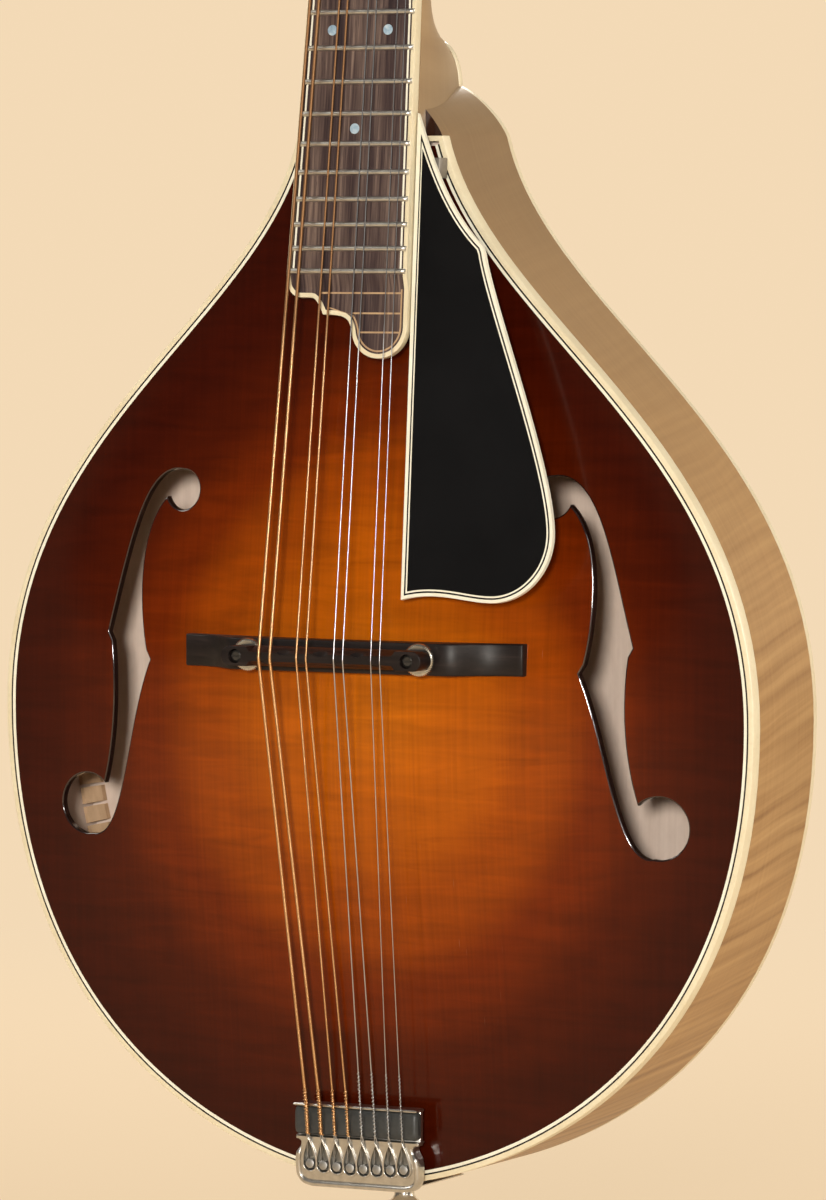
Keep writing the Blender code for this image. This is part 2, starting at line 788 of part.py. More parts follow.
def make_blocks(heel):
    front = TOP_EDGE + FIT
    back = BODY_DEPTH - BACK_EDGE - FIT
    half = trimmed(offset_path(rib_path(), RIB + FIT), 1, HEAD_BLOCK_Z, HEEL_TOP_Z)
    mesh = slab_mesh("head_block", [half + mirrored(half)], front, back)
    block = place("head_block", mesh, BODY, "plain_wood")
    cap_foot = SHOULDER_Z + FIT
    cap = trimmed(shoulder_curve(), 1, cap_foot, HEEL_TOP_Z)
    mesh = slab_mesh("shoulder_cap", [cap + mirrored(cap)], 0.0, TOP_EDGE)
    join(block, cutter("shoulder_cap", mesh, BODY))
    stem = trimmed(offset_path(rib_path(), RIB + 2 * FIT), 1, cap_foot + FIT, HEEL_TOP_Z)
    mesh = slab_mesh("cap_stem", [stem + mirrored(stem)], TOP_EDGE / 2, front + LINING)
    join(block, cutter("cap_stem", mesh, BODY))
    cut(block, heel)
    gap = FIT
    mesh = box_mesh(
        "tenon_space",
        (-TENON_HALF - gap, TENON_TOP - gap, SHOULDER_Z - TENON_LENGTH - gap),
        (TENON_HALF + gap, TENON_BOTTOM + gap, SHOULDER_Z + gap),
    )
    cut(block, cutter("tenon_space", mesh, BODY))
    tail = trimmed(offset_path(rib_path(), RIB + FIT), 1, TAIL_Z, 0.0)
    tail[-1] = (0.0, tail[-1][1])
    half = [(TAIL_BLOCK_HALF, TAIL_Z + TAIL_BLOCK_DEPTH)] + trimmed(tail, 0, 0.0, TAIL_BLOCK_HALF)
    drawn = symmetric(half)
    block = place("tail_block", slab_mesh("tail_block", [drawn], front, back), BODY, "plain_wood")
    pin = cutter(
        "pin_hole",
        rod_mesh("pin_hole", STRAP_PIN_RADIUS + FIT, -STRAP_PIN_DEPTH - FIT, STRAP_PIN_DEPTH, 12),
        BODY,
        (0, BUTTON_DROP, TAIL_Z),
        (math.pi, 0, 0),
    )
    cut(block, pin)
    for side in ("treble", "bass"):
        cut(bpy.data.objects["rib_" + side], pin)


def make_tone_bars():
    """Two bars fitted to the underside of the top."""
    space = top_space("bar_space")
    for side, flip in (("treble", 1), ("bass", -1)):
        low = Vector((flip * BAR_FOOT[0], BAR_FOOT[1]))
        high = Vector((flip * BAR_TOP[0], BAR_TOP[1]))
        length = (high - low).length
        upper = []
        lower = []
        for i in range(BAR_STEPS + 1):
            share = i / BAR_STEPS
            x, z = low.lerp(high, share)
            middle = top_height(x, z) - TOP_CENTRE / 2
            scoop = max(math.sin(math.pi * share), 0.0) ** 0.6
            depth = BAR_END_HEIGHT + (BAR_HEIGHT - BAR_END_HEIGHT) * scoop
            upper.append((length * share, middle))
            lower.append((length * share, middle - TOP_CENTRE / 2 - depth))
        outline = upper + list(reversed(lower))
        mesh = side_slab_mesh("tone_bar_" + side, outline, BAR_WIDTH / 2)
        lean = math.atan2(high.x - low.x, high.y - low.y)
        turn = (0, lean, 0)
        bar = place("tone_bar_" + side, mesh, BODY, "plain_wood", (low.x, 0, low.y), turn)
        cut(bar, space)


def neck_section(z, back, flat, squeeze, grow):
    """A cross-section of the neck at z: level face, rounded sides, flat of half width flat at the back."""
    half = board_half(z / math.cos(NECK_PITCH)) + grow
    front = glue_face(z) + grow
    flat = flat + grow
    low = back - grow
    points = []
    for i in range(9):
        turn = math.pi / 2 * i / 8
        x = flat + (half - flat) * math.cos(turn) ** squeeze
        h = front - (front - low) * math.sin(turn)
        points.append((x, -h, z))
    return points + [(-x, y, z) for x, y, z in reversed(points)]


def neck_loft_mesh(name, grow, heel_only=False):
    """The neck from the body joint to the nut. Only the heel is drawn when heel_only is set."""
    heel_back = -(BODY_DEPTH - BACK_EDGE - FIT)
    joint = HEEL_JOINT_Z
    rise = HEEL_TOP_Z - joint
    sections = []
    for z in (SHOULDER_Z - grow, (SHOULDER_Z + joint) / 2, joint):
        sections.append(neck_section(z, heel_back, HEEL_JOINT_X, HEEL_ROUNDNESS, grow))
    for share in HEEL_TIP_SHARES:
        flat = HEEL_JOINT_X * math.sqrt(1 - share**2)
        sections.append(neck_section(joint + rise * share, heel_back, flat, HEEL_ROUNDNESS, grow))
    if heel_only:
        return loft_mesh(name, sections)
    thick = NECK_THICKNESS_HEEL / math.cos(NECK_PITCH)
    start = board_face(SHAFT_START_Z) - thick
    drop = heel_back - start
    span = SHAFT_START_Z - HEEL_TOP_Z
    for share in SHAFT_SHARES:
        z = HEEL_TOP_Z + span * share
        back = start + drop * (1 - share) ** HEEL_FALL
        squeeze = 1.0 + (HEEL_ROUNDNESS - 1.0) * (1 - share) ** 3
        sections.append(neck_section(z, back, BACK_FLAT, squeeze, grow))
    end = (NUT_S + NUT_THICKNESS + FIT) * math.cos(NECK_PITCH)
    for i in range(SHAFT_SECTIONS + 1):
        share = i / SHAFT_SECTIONS
        z = SHAFT_START_Z + (end - SHAFT_START_Z) * share
        thick = NECK_THICKNESS_HEEL + (NECK_THICKNESS_NUT - NECK_THICKNESS_HEEL) * share
        back = board_face(z) - thick / math.cos(NECK_PITCH)
        sections.append(neck_section(z, back, BACK_FLAT, 1.0, grow))
    return loft_mesh(name, sections)


def head_outline():
    """The headstock seen from the front."""
    foot = NUT_WIDTH / 2
    flare = bezier(
        (foot, 0.0),
        (foot, HEAD_FLARE * 0.45),
        (HEAD_HALF_FOOT - 0.0020, HEAD_FLARE * 0.45),
        (HEAD_HALF_FOOT, HEAD_FLARE),
        6,
    )
    corner = bezier(
        (HEAD_HALF_TOP, HEAD_LENGTH - HEAD_CROWN - HEAD_CORNER),
        (HEAD_HALF_TOP, HEAD_LENGTH - HEAD_CROWN),
        (HEAD_HALF_TOP - HEAD_CORNER * 0.4, HEAD_LENGTH - HEAD_CROWN),
        (HEAD_HALF_TOP - HEAD_CORNER, HEAD_LENGTH - HEAD_CROWN * 0.6),
        6,
    )
    return symmetric(flare + corner + [(0.0, HEAD_LENGTH)])


def post_places():
    """Head-frame x and z of each post, in the order of the strings."""
    bass = [(-POST_SPREAD / 2, POST_FIRST + POST_PITCH * i) for i in range(POST_COUNT)]
    treble = [(POST_SPREAD / 2, POST_FIRST + POST_PITCH * i) for i in range(POST_COUNT)]
    return bass + list(reversed(treble))


def post_hole_mesh(name, x, z):
    mesh = rod_mesh(name, POST_RADIUS + POST_HOLE_GAP, -0.010, HEAD_THICKNESS + 0.010, POST_HOLE_STEPS)
    mesh.transform(Matrix.Translation((x, 0, z)) @ Matrix.Rotation(-math.pi / 2, 4, "X"))
    return mesh


def make_neck():
    neck = place("neck", neck_loft_mesh("neck", 0.0), BODY, "flamed_maple")
    head = slab_mesh("head_wood", [head_outline()], 0.0, HEAD_THICKNESS)
    join(neck, cutter("head_wood", head, HEAD))
    low = BOARD_END - SUPPORT_ROOT
    high = SHOULDER_Z + SUPPORT_ROOT
    under = [(high, glue_face(high)), (low, glue_face(low))]
    for i in range(7):
        z = low + (SHOULDER_Z - low) * i / 6
        under.append((z, top_height(0, z) + FIT))
    under.append((high, -SUPPORT_ROOT))
    mesh = side_slab_mesh("board_support", under, BOARD_WIDTH / 2)
    support = cutter("board_support", mesh, BODY)
    plan = offset_path(list(reversed(board_path())), SUPPORT_INSET)
    mesh = slab_mesh("support_plan", [plan], -BOARD_HEIGHT, BODY_DEPTH)
    combine(support, cutter("support_plan", mesh, NECK), "INTERSECT")
    join(neck, support)
    mesh = box_mesh(
        "tenon",
        (-TENON_HALF, TENON_TOP, SHOULDER_Z - TENON_LENGTH),
        (TENON_HALF, TENON_BOTTOM, SHOULDER_Z + SUPPORT_ROOT),
    )
    join(neck, cutter("tenon", mesh, BODY))
    slot_front = BOARD_THICKNESS - 0.0010
    mesh = box_mesh(
        "rod_slot",
        (-ROD_SLOT_HALF, slot_front, ROD_START - FIT),
        (ROD_SLOT_HALF, BOARD_THICKNESS + ROD_SLOT_DEPTH, NUT_S + ROD_END + FIT),
    )
    cut(neck, cutter("rod_slot", mesh, NECK))
    mesh = box_mesh(
        "rod_pocket",
        (-POCKET_HALF, -0.0060, -0.0010),
        (POCKET_HALF, POCKET_DEPTH, COVER_START + POCKET_LENGTH),
    )
    pocket = cutter("rod_pocket", mesh, HEAD)
    cut(neck, pocket)
    front = -HEAD_PLATE - FIT
    outline = head_outline()
    plate = place("head_plate", slab_mesh("head_plate", [outline], front, -FIT), HEAD, "black_gloss")
    cut(plate, pocket)
    for i, (x, z) in enumerate(post_places()):
        hole = cutter("post_hole_%d" % (i + 1), post_hole_mesh("post_hole", x, z), HEAD)
        cut(neck, hole)
        cut(plate, hole)
    rod_y = BOARD_THICKNESS + 2 * FIT + ROD_NUT_RADIUS
    rod = rod_mesh("truss_rod", ROD_RADIUS, ROD_START, NUT_S + ROD_END - ROD_NUT_LENGTH / 2, 10)
    rod = place("truss_rod", rod, NECK, "steel", (0, rod_y, 0))
    nut_start = NUT_S + ROD_END - ROD_NUT_LENGTH
    hexagon = rod_mesh("rod_nut", ROD_NUT_RADIUS, nut_start, NUT_S + ROD_END, 6)
    join(rod, cutter("rod_nut", hexagon, NECK, (0, rod_y, 0)))
    cover = bezier(
        (COVER_HALF, COVER_START),
        (COVER_HALF * 0.9, COVER_START + COVER_LENGTH * 0.5),
        (COVER_HALF * 0.35, COVER_START + COVER_LENGTH * 0.55),
        (0.0, COVER_START + COVER_LENGTH),
        7,
    )
    back = front - FIT
    mesh = slab_mesh("truss_rod_cover", [symmetric(cover)], back - COVER_THICKNESS, back)
    place("truss_rod_cover", mesh, HEAD, "black_gloss")
    cap = arc((0.0, 0.0), 1.0, 0, 180, 14)
    rise = HEEL_TOP_Z - HEEL_JOINT_Z - FIT
    cap = [(x * HEEL_JOINT_X, HEEL_JOINT_Z + FIT + z * rise) for x, z in cap]
    mesh = slab_mesh("heel_cap", [cap], BODY_DEPTH - BACK_EDGE, BODY_DEPTH)
    place("heel_cap", mesh, BODY, "flamed_maple")


def board_path():
    """The fingerboard's edge from the nut's bass corner, round its scrolled end, to the treble corner."""
    step = BOARD_END + BOARD_STEP
    edge = board_half(step)
    lobe_x = board_half(BOARD_END + LOBE_RADIUS) - LOBE_RADIUS
    lobe = arc((lobe_x, BOARD_END + LOBE_RADIUS), LOBE_RADIUS, 188, 360, LOBE_STEPS)
    corner = bezier(
        (-edge, step + STEP_CORNER),
        (-edge, step + STEP_CORNER / 2),
        (-edge + STEP_CORNER / 2, step),
        (-edge + STEP_CORNER, step),
        3,
    )
    cusp = (-SCROLL_X, BOARD_END + SCROLL_RISE)
    ridge = bezier((-SCROLL_X - STEP_CORNER, step), (-SCROLL_X - STEP_CORNER / 2, step), cusp, cusp, 3)
    scroll_pull = (-SCROLL_X + LOBE_RADIUS * 0.8, BOARD_END + SCROLL_RISE)
    scroll = bezier(cusp, scroll_pull, (lobe[0][0] - STEP_CORNER / 4, lobe[0][1] + STEP_CORNER), lobe[0], 5)
    path = [(-NUT_WIDTH / 2, NUT_S - FIT)] + corner + ridge + scroll[1:] + lobe[1:]
    return path + [(NUT_WIDTH / 2, NUT_S - FIT)]


def make_fingerboard():
    path = [(x, z) for x, z in reversed(board_path())]
    outer = path
    inner = offset_path(path, BOARD_BINDING)
    core = offset_path(path, BOARD_BINDING + FIT)
    ring = outer + list(reversed(inner))
    mesh = slab_mesh("board_binding", [ring], 0.0, BOARD_THICKNESS)
    place("board_binding", mesh, NECK, "cream")
    board = place("fingerboard", slab_mesh("fingerboard", [core], 0.0, BOARD_THICKNESS), NECK, "rosewood")
    crowns = bmesh.new()
    tangs = bmesh.new()
    for number in range(1, FRET_COUNT + 1):
        s = fret_s(number)
        crown_half = board_half(s) - FRET_INSET
        tang_half = board_half(s) - BOARD_BINDING - FIT - FRET_INSET
        for shape, half, thick, front, back in (
            (crowns, crown_half, FRET_WIDTH, -FRET_HEIGHT, -FIT),
            (tangs, tang_half, FRET_TANG, -FRET_HEIGHT / 2, FRET_DEPTH),
        ):
            made = bmesh.ops.create_cube(shape, size=1.0)["verts"]
            bmesh.ops.scale(shape, vec=(2 * half, back - front, thick), verts=made)
            bmesh.ops.translate(shape, vec=(0, (front + back) / 2, s), verts=made)
    for name, shape in (("fret_tangs", tangs), ("fret_crowns", crowns)):
        mesh = bpy.data.meshes.new(name)
        shape.to_mesh(mesh)
        shape.free()
        join(board, cutter(name, mesh, NECK))
    mesh = box_mesh(
        "nut",
        (-NUT_WIDTH / 2, -NUT_HEIGHT, NUT_S),
        (NUT_WIDTH / 2, BOARD_THICKNESS, NUT_S + NUT_THICKNESS - FIT),
    )
    place("nut", mesh, NECK, "bone")


def wheel_radius():
    return WHEEL_TEETH * WORM_PITCH / (2 * math.pi)


def worm_depth():
    """The worms' axes behind the headstock wood's face, with the threads clear of the machine plate."""
    plate_back = HEAD_THICKNESS + FIT + MACHINE_PLATE
    return plate_back + FIT + WORM_RADIUS + TOOTH_ADDENDUM


def gear_mesh(name, low, high):
    """A worm wheel about z with a tooth gap facing -Y. Its teeth lean with the worm's thread."""
    pitch_radius = wheel_radius()
    lead = WORM_PITCH / (2 * math.pi * WORM_RADIUS)
    tooth = 2 * math.pi / WHEEL_TEETH
    sections = []
    for height in (low, high):
        lean = (height - (low + high) / 2) * lead / pitch_radius
        section = []
        for i in range(WHEEL_TEETH):
            middle = -math.pi / 2 + tooth * (i + 0.5) + lean
            for radius, share in (
                (pitch_radius - WHEEL_ROOT, -0.5),
                (pitch_radius + TOOTH_ADDENDUM, -TOOTH_TIP_SHARE),
                (pitch_radius + TOOTH_ADDENDUM, TOOTH_TIP_SHARE),
            ):
                angle = middle + tooth * share
                section.append((radius * math.cos(angle), radius * math.sin(angle), height))
        sections.append(section)
    return loft_mesh(name, sections)


def worm_mesh(name):
    """A right-hand thread about x whose ridge faces +Y at x = 0."""
    crest = WORM_RADIUS + TOOTH_ADDENDUM
    root = WORM_RADIUS - TOOTH_ROOT
    sections = []
    count = int(THREAD_TURNS * THREAD_STEPS)
    for i in range(count + 1):
        turn = 2 * math.pi * (i - count / 2) / THREAD_STEPS
        x = WORM_PITCH * turn / (2 * math.pi)
        section = []
        for shift, radius in (
            (-THREAD_ROOT / 2, root * 0.8),
            (-THREAD_CREST / 2, crest),
            (THREAD_CREST / 2, crest),
            (THREAD_ROOT / 2, root * 0.8),
        ):
            section.append((x + shift, radius * math.cos(turn), radius * math.sin(turn)))
        sections.append(section)
    return loft_mesh(name, sections)


def make_posts():
    """String posts with their worm wheels, about the head frame's y axis."""
    wheel_low = worm_depth() - WHEEL_FACE / 2
    wheel_high = worm_depth() + WHEEL_FACE / 2
    top = HEAD_PLATE + FIT + POST_HEIGHT
    waist_low = HEAD_PLATE + FIT + 0.0008
    waist_high = WINDING_TOP + 0.0010
    profile = [
        (0.0, top),
        (POST_RADIUS * 0.8, top),
        (POST_RADIUS, top - 0.0008),
        (POST_RADIUS, waist_high + 0.0006),
        (POST_WAIST, waist_high),
        (POST_WAIST, waist_low),
        (POST_RADIUS, waist_low - 0.0005),
        (POST_RADIUS, -wheel_low + FIT),
        (POST_STUB, -wheel_low + FIT),
        (POST_STUB, -wheel_high - 0.0008),
        (0.0, -wheel_high - 0.0008),
    ]
    post = bpy.data.objects.new("post_blank", turned_mesh("post_blank", profile, POST_STEPS))
    PARTS.objects.link(post)
    join(post, cutter("worm_wheel", gear_mesh("worm_wheel", -wheel_high, -wheel_low), None))
    mesh = baked(post)
    for i, (x, z) in enumerate(post_places()):
        place("string_post_%d" % (i + 1), mesh, HEAD, "nickel", (x, 0, z), (math.pi / 2, 0, 0))


def worm_centre(x, z):
    return (x, worm_depth(), z - wheel_radius() - WORM_RADIUS)


def make_knobs():
    """Worm shafts with their finger buttons. Local x points outwards and local y to the wheel."""
    reach = HEAD_HALF_TOP + BUTTON_GAP - POST_SPREAD / 2
    shaft = rod_mesh("shaft", WORM_RADIUS - TOOTH_ROOT, -SHAFT_BACK, reach + 0.0040, SHAFT_STEPS)
    shaft.transform(Matrix.Rotation(math.pi / 2, 4, "Y"))
    knob = bpy.data.objects.new("knob_blank", shaft)
    PARTS.objects.link(knob)
    join(knob, cutter("thread", worm_mesh("thread"), None))
    button = bpy.data.meshes.new("button")
    shape = bmesh.new()
    bmesh.ops.create_uvsphere(shape, u_segments=10, v_segments=5, radius=0.5)
    size = (BUTTON_THICKNESS, BUTTON_WIDTH, BUTTON_LENGTH)
    bmesh.ops.scale(shape, vec=size, verts=shape.verts)
    shape.to_mesh(button)
    shape.free()
    button.transform(Matrix.Rotation(math.pi / 2, 4, "Y"))
    button.transform(Matrix.Translation((reach + BUTTON_LENGTH / 2, 0, 0)))
    join(knob, cutter("button", button, None))
    mesh = baked(knob)
    for i, (x, z) in enumerate(post_places()):
        outwards = Vector((1.0 if x > 0 else -1.0, 0, 0))
        to_wheel = Vector((0, 0, 1.0))
        axes = Matrix((outwards, to_wheel, outwards.cross(to_wheel))).transposed()
        turn = axes.to_euler()
        place("tuner_knob_%d" % (i + 1), mesh, HEAD, "cream", worm_centre(x, z), turn)


def make_machine_plates():
    """Plates on the headstock's back, with two ears for each worm shaft."""
    front = HEAD_THICKNESS + FIT
    back = front + MACHINE_PLATE
    half = MACHINE_PLATE_WIDTH / 2
    low = POST_FIRST - MACHINE_PLATE_MARGIN - half * 0.3
    high = POST_FIRST + POST_PITCH * (POST_COUNT - 1) + MACHINE_PLATE_MARGIN
    shaft_gap = WORM_RADIUS - TOOTH_ROOT + FIT
    for side, flip in (("treble", 1), ("bass", -1)):
        middle = flip * POST_SPREAD / 2
        mesh = box_mesh("machine_plate_" + side, (middle - half, front, low), (middle + half, back, high))
        plate = place("machine_plate_" + side, mesh, HEAD, "nickel")
        ears = bmesh.new()
        bores = bmesh.new()
        for x, z in post_places():
            if x * flip < 0:
                continue
            cx, cy, cz = worm_centre(x, z)
            for shift in (-EAR_OFFSET, EAR_OFFSET):
                made = bmesh.ops.create_cube(ears, size=1.0)["verts"]
                depth = cy + EAR_HALF - back + 0.0004
                bmesh.ops.scale(ears, vec=(EAR_THICKNESS, depth, 2 * EAR_HALF), verts=made)
                centre = (cx + shift, back - 0.0004 + depth / 2, cz)
                bmesh.ops.translate(ears, vec=centre, verts=made)
            sizes = {"radius1": shaft_gap, "radius2": shaft_gap, "depth": 3 * EAR_OFFSET}
            made = bmesh.ops.create_cone(bores, cap_ends=True, segments=SHAFT_STEPS, **sizes)["verts"]
            turn = Matrix.Rotation(math.pi / 2, 3, "Y")
            bmesh.ops.rotate(bores, cent=(0, 0, 0), matrix=turn, verts=made)
            bmesh.ops.translate(bores, vec=(cx, cy, cz), verts=made)
            hole = bpy.data.objects["post_hole_%d" % (post_places().index((x, z)) + 1)]
            cut(plate, hole)
        for name, shape, action in (("ears_", ears, join), ("shaft_bores_", bores, cut)):
            mesh = bpy.data.meshes.new(name + side)
            shape.to_mesh(mesh)
            shape.free()
            action(plate, cutter(name + side, mesh, HEAD))


def make_bridge():
    half = BASE_LENGTH / 2
    under = []
    for i in range(BASE_STEPS + 1):
        x = -half + BASE_LENGTH * i / BASE_STEPS
        under.append((x, top_height(x, 0) - TOP_CENTRE / 2))
    end = top_height(half, 0) + BASE_END
    bend = BASE_FLAT_HALF + (half - BASE_FLAT_HALF) * BASE_BEND
    shoulder = bezier((BASE_FLAT_HALF, BASE_TOP), (bend, BASE_TOP), (bend, end), (half, end), 6)
    outline = under + list(reversed(shoulder)) + [(-x, h) for x, h in shoulder]
    base = slab_mesh("bridge_base", [outline], -BASE_WIDTH / 2, BASE_WIDTH / 2)
    upright = Matrix(((1, 0, 0, 0), (0, 0, -1, 0), (0, 1, 0, 0), (0, 0, 0, 1)))
    base.transform(upright)
    base = place("bridge_base", close_mesh(base), BODY, "ebony")
    seats = bmesh.new()
    bores = bmesh.new()
    bore = STUD_RADIUS + BORE_GAP
    for flip in (-1, 1):
        for shape, low, high in (
            (seats, BASE_TOP - STUD_DEPTH - FIT, BASE_TOP + 0.0010),
            (bores, SADDLE_FOOT - 0.0010, SADDLE_TOP + 0.0010),
        ):
            made = bmesh.ops.create_cone(
                shape, cap_ends=True, segments=12, radius1=bore, radius2=bore, depth=high - low
            )["verts"]
            turn = Matrix.Rotation(math.pi / 2, 3, "X")
            bmesh.ops.rotate(shape, cent=(0, 0, 0), matrix=turn, verts=made)
            centre = (flip * STUD_SPACING / 2, -(low + high) / 2, 0)
            bmesh.ops.translate(shape, vec=centre, verts=made)
    tools = {}
    for name, shape in (("stud_seats", seats), ("stud_bores", bores)):
        mesh = bpy.data.meshes.new(name)
        shape.to_mesh(mesh)
        shape.free()
        tools[name] = cutter(name, mesh, BODY)
    cut(base, top_space("bridge_space"))
    cut(base, tools["stud_seats"])
    saddle = place("bridge_saddle", saddle_mesh(), BODY, "ebony")
    for side in (-1, 1):
        cut(saddle, cutter("saddle_bevel", saddle_bevel_mesh(side), BODY))
    cut(saddle, tools["stud_bores"])
    ring = [
        (THUMBWHEEL_RADIUS, THUMBWHEEL_HEIGHT / 2),
        (THUMBWHEEL_RADIUS, -THUMBWHEEL_HEIGHT / 2),
        (bore, -THUMBWHEEL_HEIGHT / 2),
        (bore, THUMBWHEEL_HEIGHT / 2),
    ]
    wheel = turned_mesh("thumbwheel", ring, 16, ring=True)
    stud = turned_mesh(
        "bridge_stud",
        [
            (0.0, STUD_TOP),
            (STUD_RADIUS * 0.7, STUD_TOP),
            (STUD_RADIUS, STUD_TOP - 0.0005),
            (STUD_RADIUS, BASE_TOP - STUD_DEPTH),
            (0.0, BASE_TOP - STUD_DEPTH),
        ],
        12,
    )
    wheel_middle = SADDLE_FOOT - FIT - THUMBWHEEL_HEIGHT / 2
    for side, flip in (("treble", 1), ("bass", -1)):
        x = flip * STUD_SPACING / 2
        place("bridge_stud_" + side, stud, BODY, "nickel", (x, 0, 0), (math.pi / 2, 0, 0))
        centre = (x, -wheel_middle, 0)
        place("thumbwheel_" + side, wheel, BODY, "nickel", centre, (math.pi / 2, 0, 0))


def saddle_mesh():
    """The saddle with ends rounded in plan."""
    half = SADDLE_WIDTH / 2
    ends = arc((SADDLE_LENGTH / 2 - half, 0.0), half, 90, -90, 8)
    return slab_mesh("bridge_saddle", [ends + mirrored(ends)], -SADDLE_TOP, -SADDLE_FOOT)


def saddle_bevel_mesh(side):
    """What is cut from one side of the saddle between its ends, to leave the narrow crest."""
    past = SADDLE_CREST
    outline = [
        (side * SADDLE_CREST / 2, SADDLE_TOP),
        (side * SADDLE_CREST / 2, SADDLE_TOP + past),
        (side * (SADDLE_WIDTH / 2 + past), SADDLE_TOP + past),
        (side * (SADDLE_WIDTH / 2 + past), SADDLE_FOOT + SADDLE_BEVEL_FOOT),
        (side * SADDLE_WIDTH / 2, SADDLE_FOOT + SADDLE_BEVEL_FOOT),
    ]
    if side < 0:
        outline.reverse()
    return side_slab_mesh("saddle_bevel", outline, SADDLE_LENGTH / 2 - SADDLE_EAR)


def hook_places():
    return [(HOOK_PITCH * (i - 3.5), HOOK_Z - 0.0010 * (1 - ((i - 3.5) / 4.5) ** 2)) for i in range(8)]


def make_tailpiece():
    edge = TAIL_Z - FIT
    side = [
        (TAILPIECE_FRONT, CASTING_FRONT_UNDERSIDE),
        (TAILPIECE_FRONT, LIP_TOP - 0.0004),
        (TAILPIECE_FRONT - LIP_THICKNESS / 2, LIP_TOP),
        (TAILPIECE_FRONT - LIP_THICKNESS, LIP_TOP - 0.0004),
        (TAILPIECE_FRONT - LIP_THICKNESS, STRIP_FLOOR),
        (TAILPIECE_FRONT - LIP_THICKNESS - STRIP_LENGTH - 2 * FIT, STRIP_FLOOR),
        (TAILPIECE_FRONT - LIP_THICKNESS - STRIP_LENGTH - 3 * FIT, CASTING_TOP),
        (TAILPIECE_BACK + 0.0020, CASTING_END_TOP),
        (edge - LEG_THICKNESS, CASTING_END_TOP - 0.0030),
        (edge - LEG_THICKNESS, -LEG_DROP),
        (edge, -LEG_DROP),
        (edge, 0.0006),
        (TAILPIECE_BACK + LEG_BEND, CASTING_UNDERSIDE),
        (TRAY_FRONT, CASTING_UNDERSIDE),
        (TRAY_FRONT + LEG_BEND, CASTING_FRONT_UNDERSIDE),
    ]
    casting = side_slab_mesh("tailpiece", side, TAILPIECE_WIDTH / 2)
    casting = place("tailpiece", casting, BODY, "nickel")
    half = TAILPIECE_WIDTH / 2
    plan = [(half - inset, TAILPIECE_FRONT - run) for inset, run in TAILPIECE_SIDE]
    plan += [(half - inset, TAILPIECE_BACK + run) for inset, run in TAILPIECE_CORNER]
    plan += [(LEG_HALF, TAILPIECE_BACK), (LEG_HALF, edge - 2 * LEG_THICKNESS)]
    plan += mirrored(plan)
    shape = cutter("tailpiece_plan", slab_mesh("tailpiece_plan", [plan], -2 * LIP_TOP, BODY_DEPTH), BODY)
    combine(casting, shape, "INTERSECT")
    inner = half - 2 * TRAY_WALL
    tray = [
        (inner - TRAY_CORNER, TRAY_FRONT),
        (inner, TRAY_FRONT - TRAY_CORNER),
        (inner, TAILPIECE_BACK + TRAY_CORNER),
        (inner - TRAY_CORNER, TAILPIECE_BACK + TRAY_WALL),
    ]
    mesh = slab_mesh("hook_tray", [tray + mirrored(tray)], -2 * LIP_TOP, -TRAY_FLOOR)
    cut(casting, cutter("hook_tray", mesh, BODY))
    hooks = bmesh.new()
    for x, z in hook_places():
        made = bmesh.ops.create_cone(
            hooks,
            cap_ends=True,
            segments=10,
            radius1=HOOK_RADIUS,
            radius2=HOOK_RADIUS,
            depth=HOOK_TOP - TRAY_FLOOR + 0.0010,
        )["verts"]
        turn = Matrix.Rotation(math.pi / 2, 3, "X")
        bmesh.ops.rotate(hooks, cent=(0, 0, 0), matrix=turn, verts=made)
        centre = (x, -(HOOK_TOP + TRAY_FLOOR - 0.0010) / 2, z)
        bmesh.ops.translate(hooks, vec=centre, verts=made)
    mesh = bpy.data.meshes.new("string_hooks")
    hooks.to_mesh(mesh)
    hooks.free()
    join(casting, cutter("string_hooks", mesh, BODY))
    pin_bore = rod_mesh("pin_bore", STRAP_PIN_RADIUS + FIT, -0.0050, 0.0050, 12)
    cut(casting, cutter("pin_bore", pin_bore, BODY, (0, BUTTON_DROP, edge)))
    front = TAILPIECE_FRONT - LIP_THICKNESS - FIT
    low = STRIP_FLOOR + FIT
    strip = [
        (front, low),
        (front, low + STRIP_HEIGHT * 0.75),
        (front - STRIP_LENGTH * 0.25, low + STRIP_HEIGHT),
        (front - STRIP_LENGTH * 0.75, low + STRIP_HEIGHT),
        (front - STRIP_LENGTH, low + STRIP_HEIGHT * 0.75),
        (front - STRIP_LENGTH, low),
    ]
    strip = side_slab_mesh("damper_strip", strip, half - 0.0004)
    place("damper_strip", strip, BODY, "rubber")
    start = TAIL_Z - FIT - LEG_THICKNESS
    length = STRAP_BUTTON_LENGTH
    profile = [
        (0.0, STRAP_PIN_DEPTH),
        (STRAP_PIN_RADIUS, STRAP_PIN_DEPTH - 0.0010),
        (STRAP_PIN_RADIUS, -FIT),
        (STRAP_BUTTON_NECK + 0.0010, -FIT),
        (STRAP_BUTTON_NECK, -FIT - 0.0015),
        (STRAP_BUTTON_NECK, -length * 0.6),
        (STRAP_BUTTON_RADIUS, -length * 0.8),
        (STRAP_BUTTON_RADIUS, -length + 0.0006),
        (STRAP_BUTTON_RADIUS - 0.0006, -length),
        (0.0, -length),
    ]
    button = turned_mesh("strap_button", profile, 14)
    place("strap_button", button, BODY, "nickel", (0, BUTTON_DROP, start))


